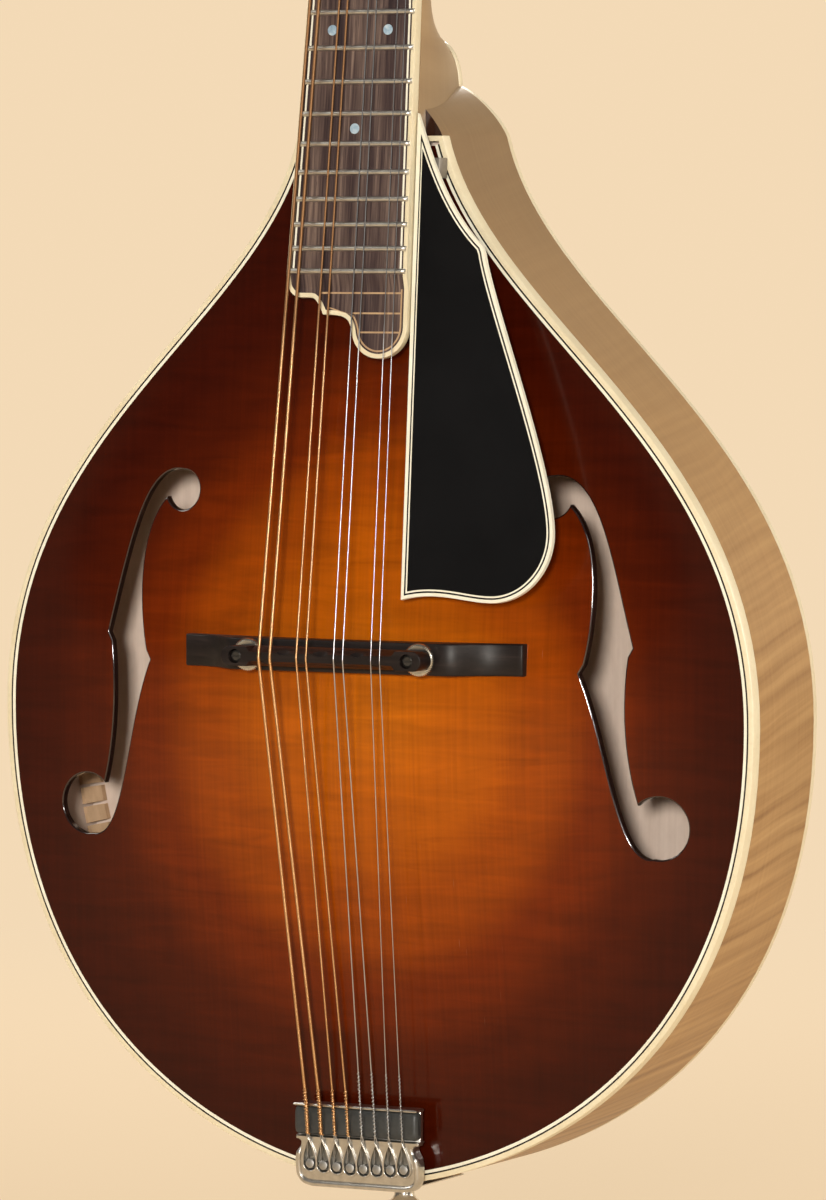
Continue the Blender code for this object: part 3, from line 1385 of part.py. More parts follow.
def guard_outline():
    """The pickguard in the neck frame, clockwise from its point beside the fingerboard."""
    kink = GUARD_KINK
    widest = GUARD_WIDEST
    point = (board_half(GUARD_TOP) + FIT, GUARD_TOP)
    shoulder = bezier(point, *GUARD_SHOULDER_PULLS, kink, 6)
    bend = (kink[0] + GUARD_BEND[0], kink[1] + GUARD_BEND[1])
    flank = bezier(bend, *GUARD_FLANK_PULLS, widest, 8)
    corner = bezier(widest, *GUARD_CORNER_PULLS, GUARD_CORNER_END, 7)
    end = (board_half(GUARD_FOOT) + FIT, GUARD_FOOT)
    foot = bezier(corner[-1], *GUARD_FOOT_PULLS, end, 4)
    return shoulder + flank + corner[1:] + foot[1:]


def make_pickguard():
    outline = guard_outline()
    front = GUARD_DROP
    back = GUARD_DROP + GUARD_THICKNESS
    inner = inset_outline(outline, GUARD_BINDING)
    core = inset_outline(outline, GUARD_BINDING + FIT)
    mesh = slab_mesh("pickguard_binding", [outline, inner], front, back)
    place("pickguard_binding", mesh, NECK, "cream")
    place("pickguard", slab_mesh("pickguard", [core], front, back), NECK, "black_gloss")
    z = BRACKET_Z
    far_end = z + BRACKET_LENGTH
    guard_back = board_face(far_end) - back / math.cos(NECK_PITCH) - FIT
    left = board_half(z) + BRACKET_SETBACK
    right = left + BRACKET_REACH
    floor = top_height(left, z) + FIT
    sheet = BRACKET_SHEET
    profile = [
        (left, floor),
        (right, floor),
        (right, guard_back),
        (left, guard_back),
        (left, guard_back - sheet),
        (right - sheet, guard_back - sheet),
        (right - sheet, floor + sheet),
        (left, floor + sheet),
    ]
    mesh = slab_mesh("pickguard_bracket", [profile], z, far_end)
    mesh.transform(Matrix(((1, 0, 0, 0), (0, 0, -1, 0), (0, 1, 0, 0), (0, 0, 0, 1))))
    place("pickguard_bracket", close_mesh(mesh), BODY, "nickel")


def string_places():
    """x of each string at the saddle and at the nut, bass to treble."""
    places = []
    for i in range(8):
        course = i // 2
        side = -0.5 if i % 2 == 0 else 0.5
        at_saddle = COURSE_SPACING * (course - 1.5) + PAIR_GAPS[course] * side
        at_nut = NUT_COURSE_SPACING * (course - 1.5) + NUT_PAIR_GAP * side
        places.append((at_saddle, at_nut))
    return places


def string_route(index):
    """Points in the body frame from the hook to the post's winding, and the first point at full gauge."""
    radius = GAUGES[index] / 2
    wire = min(radius, LOOP_WIRE / 2)
    at_saddle, at_nut = string_places()[index]
    hook_x, hook_z = hook_places()[index]
    level = TRAY_FLOOR + (HOOK_TOP - TRAY_FLOOR) * 0.45
    reach = HOOK_RADIUS + FIT + wire
    route = []
    for angle in (150, 205, 270, 335, 385):
        turn = math.radians(angle)
        lift = 0.0004 * (angle - 150) / 235
        x = hook_x + reach * math.cos(turn)
        route.append(Vector((x, -(level + lift), hook_z + reach * math.sin(turn))))
    strip_back = TAILPIECE_FRONT - LIP_THICKNESS - STRIP_LENGTH
    lip = LIP_TOP + FIT + radius
    slope_x = (at_saddle - hook_x) / -TAILPIECE_FRONT
    over_strip = STRIP_FLOOR + STRIP_HEIGHT + 3 * FIT + radius
    route.append(Vector((hook_x + 0.0002, -max(over_strip, CASTING_TOP + 2 * FIT + radius), strip_back)))
    full = len(route) - 1
    route.append(Vector((hook_x, -lip, TAILPIECE_FRONT)))
    route.append(Vector((hook_x + slope_x * 0.0010, -lip - 0.0002, TAILPIECE_FRONT + 0.0010)))
    route.append(Vector((at_saddle, -(SADDLE_TOP + FIT + radius), 0.0)))
    over_nut = -(NUT_HEIGHT + FIT + radius)
    route.append(NECK_MATRIX @ Vector((at_nut, over_nut, NUT_S)))
    route.append(NECK_MATRIX @ Vector((at_nut, over_nut, NUT_S + NUT_THICKNESS * 0.8)))
    post_x, post_z = post_places()[index]
    turn_side = 1 if post_x < 0 else -1
    wrap = POST_WAIST + FIT + radius
    drop = 2 * radius + WINDING_GAP
    start = WINDING_TOP - radius
    for i in range(int(WINDING_TURNS * WINDING_STEPS) + 1):
        turn = 2 * math.pi * i / WINDING_STEPS
        x = post_x + turn_side * wrap * math.cos(turn)
        height = start - drop * turn / (2 * math.pi)
        route.append(HEAD_MATRIX @ Vector((x, -height, post_z + wrap * math.sin(turn))))
    return route, full


def least_gap(points, diameter):
    """The least clear distance between points of one string that are far apart along it."""
    least = 1.0
    for i, first in enumerate(points):
        for second in points[i + WINDING_STEPS - 1 :]:
            least = min(least, (first - second).length - diameter)
    return least


def make_strings():
    for index, gauge in enumerate(GAUGES):
        name = "string_%d" % (index + 1)
        route, full = string_route(index)
        curve = bpy.data.curves.new(name, "CURVE")
        curve.dimensions = "3D"
        curve.bevel_depth = gauge / 2
        curve.bevel_resolution = 1
        curve.use_fill_caps = True
        spline = curve.splines.new("POLY")
        spline.points.add(len(route) - 1)
        for i, (point, place_at) in enumerate(zip(spline.points, route)):
            point.co = (*place_at, 1.0)
            point.radius = 1.0 if i >= full else min(1.0, LOOP_WIRE / gauge)
        string = bpy.data.objects.new(name, curve)
        PARTS.objects.link(string)
        string.parent = BODY
        curve.materials.append(finish_material("bronze" if index < 4 else "steel"))
        print("%s: least gap to itself %.2f mm" % (name, least_gap(route[full:], gauge) * 1000))


clear_scene()
PARTS = new_collection("mandolin")
CUTTERS = new_collection("cutters")
NUT_S = SADDLE_SETBACK + SCALE_LENGTH
TOP_OUTLINE = top_outline()
BODY = new_frame("body_frame", None, (0, -HANGER_BACK, -HANGER_Z))
NECK = new_frame("neck_frame", BODY, (0, -BOARD_HEIGHT, 0), NECK_PITCH)
HEAD = new_frame("head_frame", NECK, (0, BOARD_THICKNESS + FIT, NUT_S + NUT_THICKNESS), HEAD_PITCH)
bpy.context.view_layer.update()
NECK_MATRIX = BODY.matrix_world.inverted() @ NECK.matrix_world
HEAD_MATRIX = BODY.matrix_world.inverted() @ HEAD.matrix_world
make_plates()
heel_space = make_ribs()
make_blocks(heel_space)
make_tone_bars()
make_neck()
make_fingerboard()
make_posts()
make_knobs()
make_machine_plates()
make_bridge()
make_tailpiece()
make_pickguard()
make_strings()
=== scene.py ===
import math
import bmesh
import bpy
from mathutils import Matrix, Vector


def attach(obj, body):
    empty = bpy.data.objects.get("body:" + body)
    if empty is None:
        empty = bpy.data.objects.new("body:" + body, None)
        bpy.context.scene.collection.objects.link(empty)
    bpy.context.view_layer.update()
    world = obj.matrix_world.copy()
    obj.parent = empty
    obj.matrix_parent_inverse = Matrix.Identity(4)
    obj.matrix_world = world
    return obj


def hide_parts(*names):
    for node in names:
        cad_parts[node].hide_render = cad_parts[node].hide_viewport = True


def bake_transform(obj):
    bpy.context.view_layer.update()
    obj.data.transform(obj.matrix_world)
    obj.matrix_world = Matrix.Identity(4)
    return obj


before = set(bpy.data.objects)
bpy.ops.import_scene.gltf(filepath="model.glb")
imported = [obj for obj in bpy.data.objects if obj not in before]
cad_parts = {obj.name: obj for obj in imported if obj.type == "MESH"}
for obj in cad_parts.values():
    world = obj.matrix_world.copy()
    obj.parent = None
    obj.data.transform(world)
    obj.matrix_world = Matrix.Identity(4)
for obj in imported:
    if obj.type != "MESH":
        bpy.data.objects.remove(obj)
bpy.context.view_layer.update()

scene = bpy.context.scene
print("mandolin: frame loaded")


# shared by several pieces, in metres
fit = 0.0003
body = {
    "width": 0.2490, "widestZ": -0.0184, "tailZ": -0.1576, "shoulder": (0.0241, 0.1520),
    "shoulderPull": (0.0135, -0.0538), "upperPull": 0.0850, "lowerPull": 0.1123, "tailPull": 0.0309,
    "heelJoint": (0.0080, 0.1673), "heelBend": ((0.0070, -0.0028), (-0.0018, 0.0045)), "depth": 0.0445,
    "topArch": 0.0140, "backArch": 0.0125, "archZ": -0.0140, "fullness": 1.1, "topEdge": 0.0045,
    "graduated": 0.0024, "holeLip": 0.00045, "backEdge": 0.0024, "backCentre": 0.0042, "rib": 0.0023,
    "topBinding": 0.0016, "backBinding": 0.0015, "purflingBlack": 0.0005, "purflingWhite": 0.0009,
    "outlineSteps": 40,
}
backRim = body["depth"] - body["backEdge"]
ribFront, ribBack = body["topEdge"] + fit, backRim - fit
sides = (("Treble", 1), ("Bass", -1))
neck = {
    "pitch": math.radians(6.826), "boardHeight": 0.02764, "scale": 0.3549, "setback": 0.0015,
    "nutWidth": 0.0286, "boardWidth": 0.0396, "boardThick": 0.0036, "boardBinding": 0.0013,
    "nutThick": 0.0050, "heelTopZ": 0.1812, "shaftZ": 0.2160, "thickHeel": 0.0205, "thickNut": 0.0188,
}
nutS = neck["setback"] + neck["scale"]
headPitch = math.radians(15.0)
bodyFrame = Matrix.Translation((0, -0.024, -0.360))
neckFrame = bodyFrame @ Matrix.Translation((0, -neck["boardHeight"], 0)) @ Matrix.Rotation(-neck["pitch"], 4, "X")
headFrame = neckFrame @ Matrix.Translation((0, neck["boardThick"] + fit, nutS + neck["nutThick"]))
headFrame = headFrame @ Matrix.Rotation(-headPitch, 4, "X")


# flat paths are lists of (x, z)
def bezier(start, startPull, endPull, end, steps):
    corners = (start, startPull, endPull, end)
    points = []
    for i in range(steps + 1):
        t = i / steps
        weights = ((1 - t) ** 3, 3 * t * (1 - t) ** 2, 3 * t * t * (1 - t), t**3)
        points.append(tuple(sum(w * c[k] for w, c in zip(weights, corners)) for k in (0, 1)))
    return points


def arc(centre, radius, first, last, steps):
    turns = [math.radians(first + (last - first) * i / steps) for i in range(steps + 1)]
    return [(centre[0] + radius * math.cos(t), centre[1] + radius * math.sin(t)) for t in turns]


def mirrored(points):
    return [(-x, z) for x, z in reversed(points)]


def symmetric(half):
    return half + mirrored(half)[1:]


def offsetPath(path, distance, closed=False):
    moved = []
    count = len(path)
    for i, point in enumerate(path):
        here = Vector(point)
        before = Vector(path[i - 1]) if closed or i else here
        after = Vector(path[(i + 1) % count]) if closed or i < count - 1 else here
        first = (here - before).normalized() if (here - before).length else (after - here).normalized()
        second = (after - here).normalized() if (after - here).length else first
        along = (first + second).normalized()
        side = Vector((along.y, -along.x)) / max(along.dot(first), 0.35)
        moved.append(tuple(here + side * distance))
    return moved


def gapTo(point, outline):
    here = Vector(point)
    least = 1.0
    for a, b in zip(outline, outline[1:] + outline[:1]):
        start, edge = Vector(a), Vector(b) - Vector(a)
        share = max(0.0, min(1.0, (here - start).dot(edge) / max(edge.length_squared, 1e-18)))
        least = min(least, (here - start - edge * share).length)
    return least


def drawnIn(path, distance, closed=True):
    track = offsetPath(path, distance, closed)
    ends = () if closed else (0, len(track) - 1)
    return [p for i, p in enumerate(track) if i in ends or distance * 0.985 < gapTo(p, path) < distance * 1.6]


def pathLengths(path):
    runs = [0.0]
    for a, b in zip(path, path[1:]):
        runs.append(runs[-1] + (Vector(b) - Vector(a)).length)
    return runs


# meshes
def filled(mesh, shape, weld=1e-6):
    bmesh.ops.remove_doubles(shape, verts=shape.verts, dist=weld)
    bmesh.ops.recalc_face_normals(shape, faces=shape.faces)
    shape.to_mesh(mesh)
    shape.free()
    return mesh


def newMesh(name, shape, weld=1e-6):
    return filled(bpy.data.meshes.new(name), shape, weld)


def linked(name, data):
    thing = bpy.data.objects.new(name, data)
    scene.collection.objects.link(thing)
    return thing


def loftRows(rows, closedRow=True, caps=True, shape=None, tones=None):
    shape = shape or bmesh.new()
    made = [[shape.verts.new(p) for p in row] for row in rows]
    count = len(rows[0])
    for row, following in zip(made, made[1:]):
        for i in range(count if closedRow else count - 1):
            j = (i + 1) % count
            face = shape.faces.new((row[i], row[j], following[j], following[i]))
            face.material_index = (tones or {}).get(i, 0)
    if caps and closedRow:
        shape.faces.new(made[0])
        shape.faces.new(made[-1])
    return shape


def sweep(path, section, tones=None):
    tracks = [offsetPath(path, shift) for shift, y in section]
    rows = []
    for i in range(len(path)):
        rows.append([(track[i][0], y, track[i][1]) for track, (shift, y) in zip(tracks, section)])
    return loftRows(rows, tones=tones)


def sheetOf(name, outlines, front, back, rounding=0.0, steps=1):
    curve = bpy.data.curves.new(name, "CURVE")
    curve.dimensions = "2D"
    curve.fill_mode = "BOTH"
    curve.extrude = (back - front) / 2 - rounding
    curve.bevel_depth = rounding
    curve.bevel_resolution = steps
    curve.offset = -rounding
    for outline in outlines:
        spline = curve.splines.new("POLY")
        spline.points.add(len(outline) - 1)
        for point, (x, z) in zip(spline.points, outline):
            point.co = (x, z, 0.0, 1.0)
        spline.use_cyclic_u = True
    mesh = baked(linked(name, curve))
    mesh.transform(Matrix.Translation((0, (front + back) / 2, 0)) @ Matrix.Rotation(math.pi / 2, 4, "X"))
    return mesh


def baked(thing):
    bpy.context.view_layer.update()
    graph = bpy.context.evaluated_depsgraph_get()
    mesh = bpy.data.meshes.new_from_object(thing.evaluated_get(graph))
    bpy.data.objects.remove(thing)
    shape = bmesh.new()
    shape.from_mesh(mesh)
    return filled(mesh, shape)


def combined(mesh, tools, operation="DIFFERENCE"):
    for solid in [mesh] + list(tools):
        while len(solid.materials) < 3:  # empty slots, so that each face keeps its tone
            solid.materials.append(None)
    base = linked("blank", mesh)
    helpers = [linked("tool", tool) for tool in tools]
    for helper in helpers:
        change = base.modifiers.new("cut", "BOOLEAN")
        change.operation = operation
        change.solver = "EXACT"
        change.object = helper
    result = baked(base)
    for helper in helpers:
        bpy.data.objects.remove(helper)
    return result


def softened(mesh, width, segments=2, angle=35):
    base = linked("blank", mesh)
    change = base.modifiers.new("round", "BEVEL")
    change.width = width
    change.segments = segments
    change.limit_method = "ANGLE"
    change.angle_limit = math.radians(angle)
    return baked(base)


def turned(profile, steps=32, ring=False, axis="Y"):
    turns = [2 * math.pi * i / steps for i in range(steps)]
    shape = bmesh.new()
    rows = [[shape.verts.new((r * math.cos(t), h, r * math.sin(t))) for r, h in profile] for t in turns]
    for row, following in zip(rows, rows[1:] + rows[:1]):
        for k in range(len(row) if ring else len(row) - 1):
            j = (k + 1) % len(row)
            shape.faces.new((row[k], row[j], following[j], following[k]))
    bmesh.ops.remove_doubles(shape, verts=shape.verts, dist=1e-7)
    thin = [f for f in shape.faces if f.calc_area() < 1e-15]
    bmesh.ops.delete(shape, geom=thin, context="FACES_ONLY")
    mesh = newMesh("turned", shape, 1e-7)
    if axis == "Z":
        mesh.transform(Matrix.Rotation(math.pi / 2, 4, "X"))
    return mesh


def rod(radius, low, high, steps=24, axis="Y"):
    return turned([(0.0, low), (radius, low), (radius, high), (0.0, high)], steps, axis=axis)


def boxMesh(low, high):
    shape = bmesh.new()
    bmesh.ops.create_cube(shape, size=1.0)
    bmesh.ops.scale(shape, vec=Vector(high) - Vector(low), verts=shape.verts)
    bmesh.ops.translate(shape, vec=(Vector(high) + Vector(low)) / 2, verts=shape.verts)
    return newMesh("box", shape)


def tube(points, radii, sides=10):  # one radius for all, or a list
    radii = radii if isinstance(radii, list) else [radii] * len(points)
    rows = []
    side = None
    for i, (point, radius) in enumerate(zip(points, radii)):
        here = Vector(point)
        ahead = Vector(points[min(i + 1, len(points) - 1)]) - Vector(points[max(i - 1, 0)])
        ahead.normalize()
        side = side or ahead.orthogonal()
        side = (side - ahead * side.dot(ahead)).normalized()
        other = ahead.cross(side)
        turns = [2 * math.pi * k / sides for k in range(sides)]
        rows.append([here + (side * math.cos(t) + other * math.sin(t)) * radius for t in turns])
    return loftRows(rows)


def joinMeshes(parts):
    shape = bmesh.new()
    for part in parts:
        shape.from_mesh(part)
    mesh = bpy.data.meshes.new("joined")
    shape.to_mesh(mesh)
    shape.free()
    return mesh


def toned(mesh, tone):
    for face in mesh.polygons:
        face.material_index = tone
    return mesh


def moved(mesh, matrix):
    copy = mesh.copy()
    copy.transform(matrix)
    return copy

def shifted(mesh, x, y, z):
    return moved(mesh, Matrix.Translation((x, y, z)))

def stamp(mesh, name, rule):
    layer = mesh.attributes.new(name, "FLOAT", "POINT")
    layer.data.foreach_set("value", [rule(v.co) for v in mesh.vertices])


def place(name, mesh, where, paints, rides="instrument", stands=(), finish=None, sharp=34):
    if isinstance(mesh, bmesh.types.BMesh):
        mesh = newMesh(name, mesh)
    mesh.name = name
    mesh.transform(where)
    paints = paints if isinstance(paints, (list, tuple)) else [paints]
    while len(mesh.materials) > len(paints):
        mesh.materials.pop()
    for i, paint in enumerate(paints):
        if i < len(mesh.materials):
            mesh.materials[i] = paint
        else:
            mesh.materials.append(paint)
    mesh.shade_smooth()
    mesh.set_sharp_from_angle(angle=math.radians(sharp))
    piece = linked(name, mesh)
    if rides:
        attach(piece, rides)
    if stands:
        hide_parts(*([stands] if isinstance(stands, str) else stands))
    return piece


# finishes
class Wire:  # one output socket, with arithmetic
    def __init__(self, paint, socket):
        self.paint, self.socket = paint, socket

    def maths(self, operation, first, second=0.0):
        return self.paint.node("ShaderNodeMath", {"operation": operation}, {0: first, 1: second})

    def __add__(self, other): return self.maths("ADD", self, other)
    def __radd__(self, other): return self.maths("ADD", other, self)
    def __sub__(self, other): return self.maths("SUBTRACT", self, other)
    def __rsub__(self, other): return self.maths("SUBTRACT", other, self)
    def __mul__(self, other): return self.maths("MULTIPLY", self, other)
    def __rmul__(self, other): return self.maths("MULTIPLY", other, self)
    def __truediv__(self, other): return self.maths("DIVIDE", self, other)
    def __pow__(self, other): return self.maths("POWER", self, other)
    def __abs__(self): return self.maths("ABSOLUTE", self)
    def cycle(self): return self.maths("FRACT", self)
    def capped(self): return self.maths("MINIMUM", self.maths("MAXIMUM", self, 0.0), 1.0)
    def ease(self, low, high): return ((self - low) / (high - low)).capped()


class Paint:
    def __init__(self, name, colour=(0.5, 0.5, 0.5), roughness=0.4, metallic=0.0, coat=0.0, **fixed):
        self.material = bpy.data.materials.new(name)
        self.material.use_nodes = True
        self.tree = self.material.node_tree
        self.shader = self.tree.nodes["Principled BSDF"]
        self.set("Base Color", colour)
        self.set("Roughness", roughness)
        self.set("Metallic", metallic)
        self.set("Coat Weight", coat)
        for socket, value in fixed.items():
            self.set(socket.replace("_", " "), value)

    def put(self, socket, value):
        if isinstance(value, Wire):
            self.tree.links.new(value.socket, socket)
        elif isinstance(value, (tuple, list)) and len(value) == 3 and socket.type == "RGBA":
            socket.default_value = (*value, 1.0)
        else:
            socket.default_value = value

    def set(self, socket, value):
        self.put(self.shader.inputs[socket], value)

    def node(self, kind, settings, sockets, out=0):
        made = self.tree.nodes.new(kind)
        for name, value in settings.items():
            if name == "stops":
                ramp = made.color_ramp
                while len(ramp.elements) < len(value):
                    ramp.elements.new(0.5)
                for element, (position, colour) in zip(ramp.elements, value):
                    element.position = position
                    element.color = (*colour, 1.0) if isinstance(colour, tuple) else (colour,) * 3 + (1.0,)
            elif name == "ease":
                made.color_ramp.interpolation = value
            else:
                setattr(made, name, value)
        for key, value in sockets.items():
            self.put(made.inputs[key], value)
        return Wire(self, made.outputs[out])

    def spot(self):
        return self.node("ShaderNodeTexCoord", {}, {}, "Object")

    def attribute(self, name):
        return self.node("ShaderNodeAttribute", {"attribute_name": name}, {}, "Fac")

    def parts(self, vector):
        return [self.node("ShaderNodeSeparateXYZ", {}, {0: vector}, k) for k in range(3)]

    def join(self, x, y, z):
        return self.node("ShaderNodeCombineXYZ", {}, {0: x, 1: y, 2: z})

    def stretch(self, vector, scale):
        return self.node("ShaderNodeVectorMath", {"operation": "MULTIPLY"}, {0: vector, 1: scale})

    def noise(self, vector, scale=1.0, detail=3.0, roughness=0.55, distortion=0.0):
        sockets = {"Vector": vector, "Scale": scale, "Detail": detail, "Roughness": roughness,
                   "Distortion": distortion}
        return self.node("ShaderNodeTexNoise", {"normalize": True}, sockets, "Fac")

    def grain(self, vector, scale, detail=3.0, roughness=0.55, distortion=0.0):
        return self.noise(self.stretch(vector, scale), 1.0, detail, roughness, distortion)

    def ramp(self, value, stops, ease="LINEAR"):
        return self.node("ShaderNodeValToRGB", {"stops": stops, "ease": ease}, {"Fac": value}, "Color")

    def blend(self, factor, first, second, how="MIX"):
        settings = {"data_type": "RGBA", "blend_type": how}
        return self.node("ShaderNodeMix", settings, {0: factor, 6: first, 7: second}, 2)

    def bump(self, height, strength=0.3, distance=0.0002):
        sockets = {"Strength": strength, "Distance": distance, "Height": height}
        self.set("Normal", self.node("ShaderNodeBump", {}, sockets, "Normal"))


def smudges(paint, base, spread=0.10, scale=90.0):
    return paint.noise(paint.spot(), scale, 4.0, 0.6) * spread + (base - spread / 2)


def makeTopPaint():
    look = {
        "burst": [(0.0, (0.425, 0.106, 0.0020)), (0.24, (0.365, 0.079, 0.0015)), (0.44, (0.250, 0.044, 0.0010)),
                  (0.60, (0.122, 0.0150, 0.0006)), (0.76, (0.056, 0.0058, 0.0005)),
                  (0.9, (0.036, 0.0034, 0.0006)), (1.0, (0.028, 0.0028, 0.0007))],
        "grainPitch": 1250.0, "figure": 0.30, "scratches": 0.55, "scratch": (0.42, 0.28, 0.17),
    }
    paint = Paint("sunburstSpruce", roughness=0.13, Specular_IOR_Level=0.2)
    spot = paint.spot()
    cloud = paint.grain(spot, (9.0, 9.0, 7.0), 2.0)
    share = paint.attribute("burst") + (cloud - 0.5) * 0.10
    colour = paint.ramp(share, look["burst"], "EASE")
    grain = paint.grain(spot, (look["grainPitch"], 1.0, 6.0), 2.0, 0.6)
    fine = paint.grain(spot, (520.0, 1.0, 24.0), 3.0, 0.6)
    cross = paint.grain(spot, (26.0, 1.0, 210.0), 3.0, 0.62, 0.6)
    lines = (grain - 0.5) * 0.22 + (fine - 0.5) * 0.24 + (cross - 0.5) * look["figure"] * 2 + 0.5
    colour = paint.blend(0.85, colour, paint.ramp(lines, [(0.18, 0.22), (0.5, 0.5), (0.82, 0.80)]), "OVERLAY")
    wear = paint.grain(spot, (900.0, 1.0, 55.0), 2.0, 0.7)
    worn = wear.ease(0.70, 0.80) * paint.attribute("worn") * look["scratches"]
    colour = paint.blend(worn, colour, look["scratch"])
    paint.set("Base Color", colour)
    paint.set("Roughness", worn * 0.35 + 0.12 + (paint.noise(spot, 60.0, 3.0) - 0.5) * 0.06)
    paint.bump(grain * 0.4 + fine * 0.3 + wear * paint.attribute("worn") * 0.6, 0.10, 0.00012)
    return paint.material


mapleBody = [(0.12, (0.22, 0.105, 0.036)), (0.40, (0.36, 0.200, 0.078)), (0.62, (0.445, 0.262, 0.108)),
             (0.90, (0.54, 0.34, 0.155))]
mapleNeck = [(0.10, (0.31, 0.185, 0.088)), (0.50, (0.395, 0.248, 0.120)), (0.90, (0.48, 0.315, 0.165))]
# painted shade where the ribs and neck meet, standing in for the neck's shadow
neckJoinShade = {  # ribs and neck are darker where they meet: from z, to z, and the tint there
    "run": (-0.290, -0.215, (0.62, 0.67, 0.78)),
    "up": (-0.140, -0.200, (0.80, 0.86, 0.95)),
}


def makeMaplePaint(name, along, colours, flame, shift, roughness, coat, bold):
    paint = Paint(name, roughness=roughness, coat=coat, Coat_Roughness=0.10, Specular_IOR_Level=0.3)
    spot = paint.spot()
    x, y, z = paint.parts(spot)
    if along == "run":
        run = paint.attribute("run")
        flow = paint.join(run + y * 0.22, y, 0.0)
        grain = paint.grain(flow, (14.0, 700.0, 1.0), 3.0, 0.6)
        bold = run.ease(0.10, 0.26) * (bold * 0.85) + bold * 0.15
    elif along == "back":
        flow = paint.join(z + abs(x) * 0.28, abs(x), y)
        grain = paint.grain(flow, (12.0, 620.0, 1.0), 3.0, 0.6)
    else:
        flow = paint.join(z, x, y)
        grain = paint.grain(flow, (10.0, 520.0, 520.0), 3.0, 0.6)
    wander = paint.grain(flow, (22.0, flame[1] * 4, 20.0), 2.0)
    u, v, w = paint.parts(flow)
    stripes = paint.join(u * flame[0] + (wander - 0.5) * 1.2, v * flame[1], w * flame[1])
    figure = (paint.noise(stripes, 1.0, 3.0, 0.5) - 0.5) * bold + (grain - 0.5) * 0.25 + 0.5 + shift
    colour = paint.ramp(figure, colours)
    cloud = paint.grain(spot, (16.0, 16.0, 12.0), 2.0)
    colour = paint.blend(0.5, colour, paint.ramp(cloud, [(0.3, 0.43), (0.7, 0.56)]), "OVERLAY")
    # painted shade: the maple is tinted darker towards the neck joint
    if along in neckJoinShade:
        near, far, tint = neckJoinShade[along]
        stainAndShade = paint.ramp(z.ease(near, far), [(0.0, (1.0, 1.0, 1.0)), (1.0, tint)])
        colour = paint.blend(1.0, colour, stainAndShade, "MULTIPLY")
    paint.set("Base Color", colour)
    paint.set("Roughness", smudges(paint, roughness, 0.08))
    paint.bump(grain, 0.06, 0.0001)
    return paint.material


def makeCreamPaint(name, light, dark):
    paint = Paint(name, roughness=0.36, coat=0.08, Coat_Roughness=0.15)
    spot = paint.spot()
    stainAndShade = paint.noise(spot, 70.0, 4.0, 0.6)
    streak = paint.grain(spot, (900.0, 900.0, 900.0), 2.0)
    colour = paint.ramp(stainAndShade * 0.7 + streak * 0.3, [(0.30, dark), (0.62, light)])
    paint.set("Base Color", colour)
    paint.set("Roughness", smudges(paint, 0.32, 0.12, 200.0))
    return paint.material


def makeFlatPaint(name, colour, roughness, metallic=0.0, coat=0.0, vary=0.12, scale=300.0, depth=0.05):
    paint = Paint(name, roughness=roughness, metallic=metallic, coat=coat, Coat_Roughness=0.08)
    spot = paint.spot()
    mottle = paint.noise(spot, scale, 4.0, 0.6)
    shade = [tuple(c * (1 - vary) for c in colour), tuple(min(c * (1 + vary), 1.0) for c in colour)]
    paint.set("Base Color", paint.ramp(mottle, [(0.3, shade[0]), (0.7, shade[1])]))
    paint.set("Roughness", smudges(paint, roughness, min(roughness * 0.6, 0.16), scale * 0.4))
    paint.bump(paint.noise(spot, scale * 4, 3.0), depth, 0.00008)
    return paint.material


def makeBoardPaint():
    paint = Paint("rosewoodBoard", roughness=0.5, Specular_IOR_Level=0.25)
    spot = paint.spot()
    x, y, z = paint.parts(spot)
    flow = paint.join(x + (z * 0.004), y, z)
    broad = paint.grain(flow, (190.0, 30.0, 9.0), 3.0, 0.6)
    thin = paint.grain(flow, (1300.0, 60.0, 26.0), 3.0, 0.7)
    pores = paint.grain(flow, (4200.0, 60.0, 260.0), 2.0, 0.5)
    tone = (broad - 0.5) * 1.1 + (thin - 0.5) * 0.9 + 0.5
    colour = paint.ramp(tone, [(0.24, (0.018, 0.010, 0.013)), (0.44, (0.050, 0.031, 0.031)),
                               (0.58, (0.100, 0.068, 0.060)), (0.80, (0.225, 0.160, 0.130))])
    pore = pores.ease(0.66, 0.74)
    colour = paint.blend(pore * 0.7, colour, (0.018, 0.012, 0.010))
    paint.set("Base Color", colour)
    paint.set("Roughness", 0.46 + thin * 0.12)
    paint.bump(1.0 - pore, 0.25, 0.00015)
    return paint.material


def makeEbonyPaint():
    paint = Paint("ebony", roughness=0.42, Specular_IOR_Level=0.22)
    streak = paint.grain(paint.spot(), (16.0, 240.0, 420.0), 4.0, 0.65, 0.3)
    colour = paint.ramp(streak, [(0.25, (0.006, 0.0042, 0.0042)), (0.55, (0.014, 0.0098, 0.0092)),
                                 (0.80, (0.036, 0.024, 0.021))])
    paint.set("Base Color", colour)
    paint.set("Roughness", smudges(paint, 0.40, 0.16, 160.0))
    paint.bump(streak, 0.15, 0.0002)
    return paint.material


def makePlainWoodPaint(name, light, dark, lengthways):
    paint = Paint(name, roughness=0.7)
    spot = paint.spot()
    grain = paint.grain(spot, lengthways, 4.0, 0.65)
    fleck = paint.grain(spot, (500.0, 500.0, 260.0), 2.0)
    colour = paint.ramp(grain * 0.7 + fleck * 0.3, [(0.30, dark), (0.68, light)])
    paint.set("Base Color", colour)
    paint.bump(grain, 0.2, 0.0002)
    return paint.material


shadedStringsZ = (-0.276, -0.262)  # above here the strings are painted darker and duller: painted shade over the fingerboard
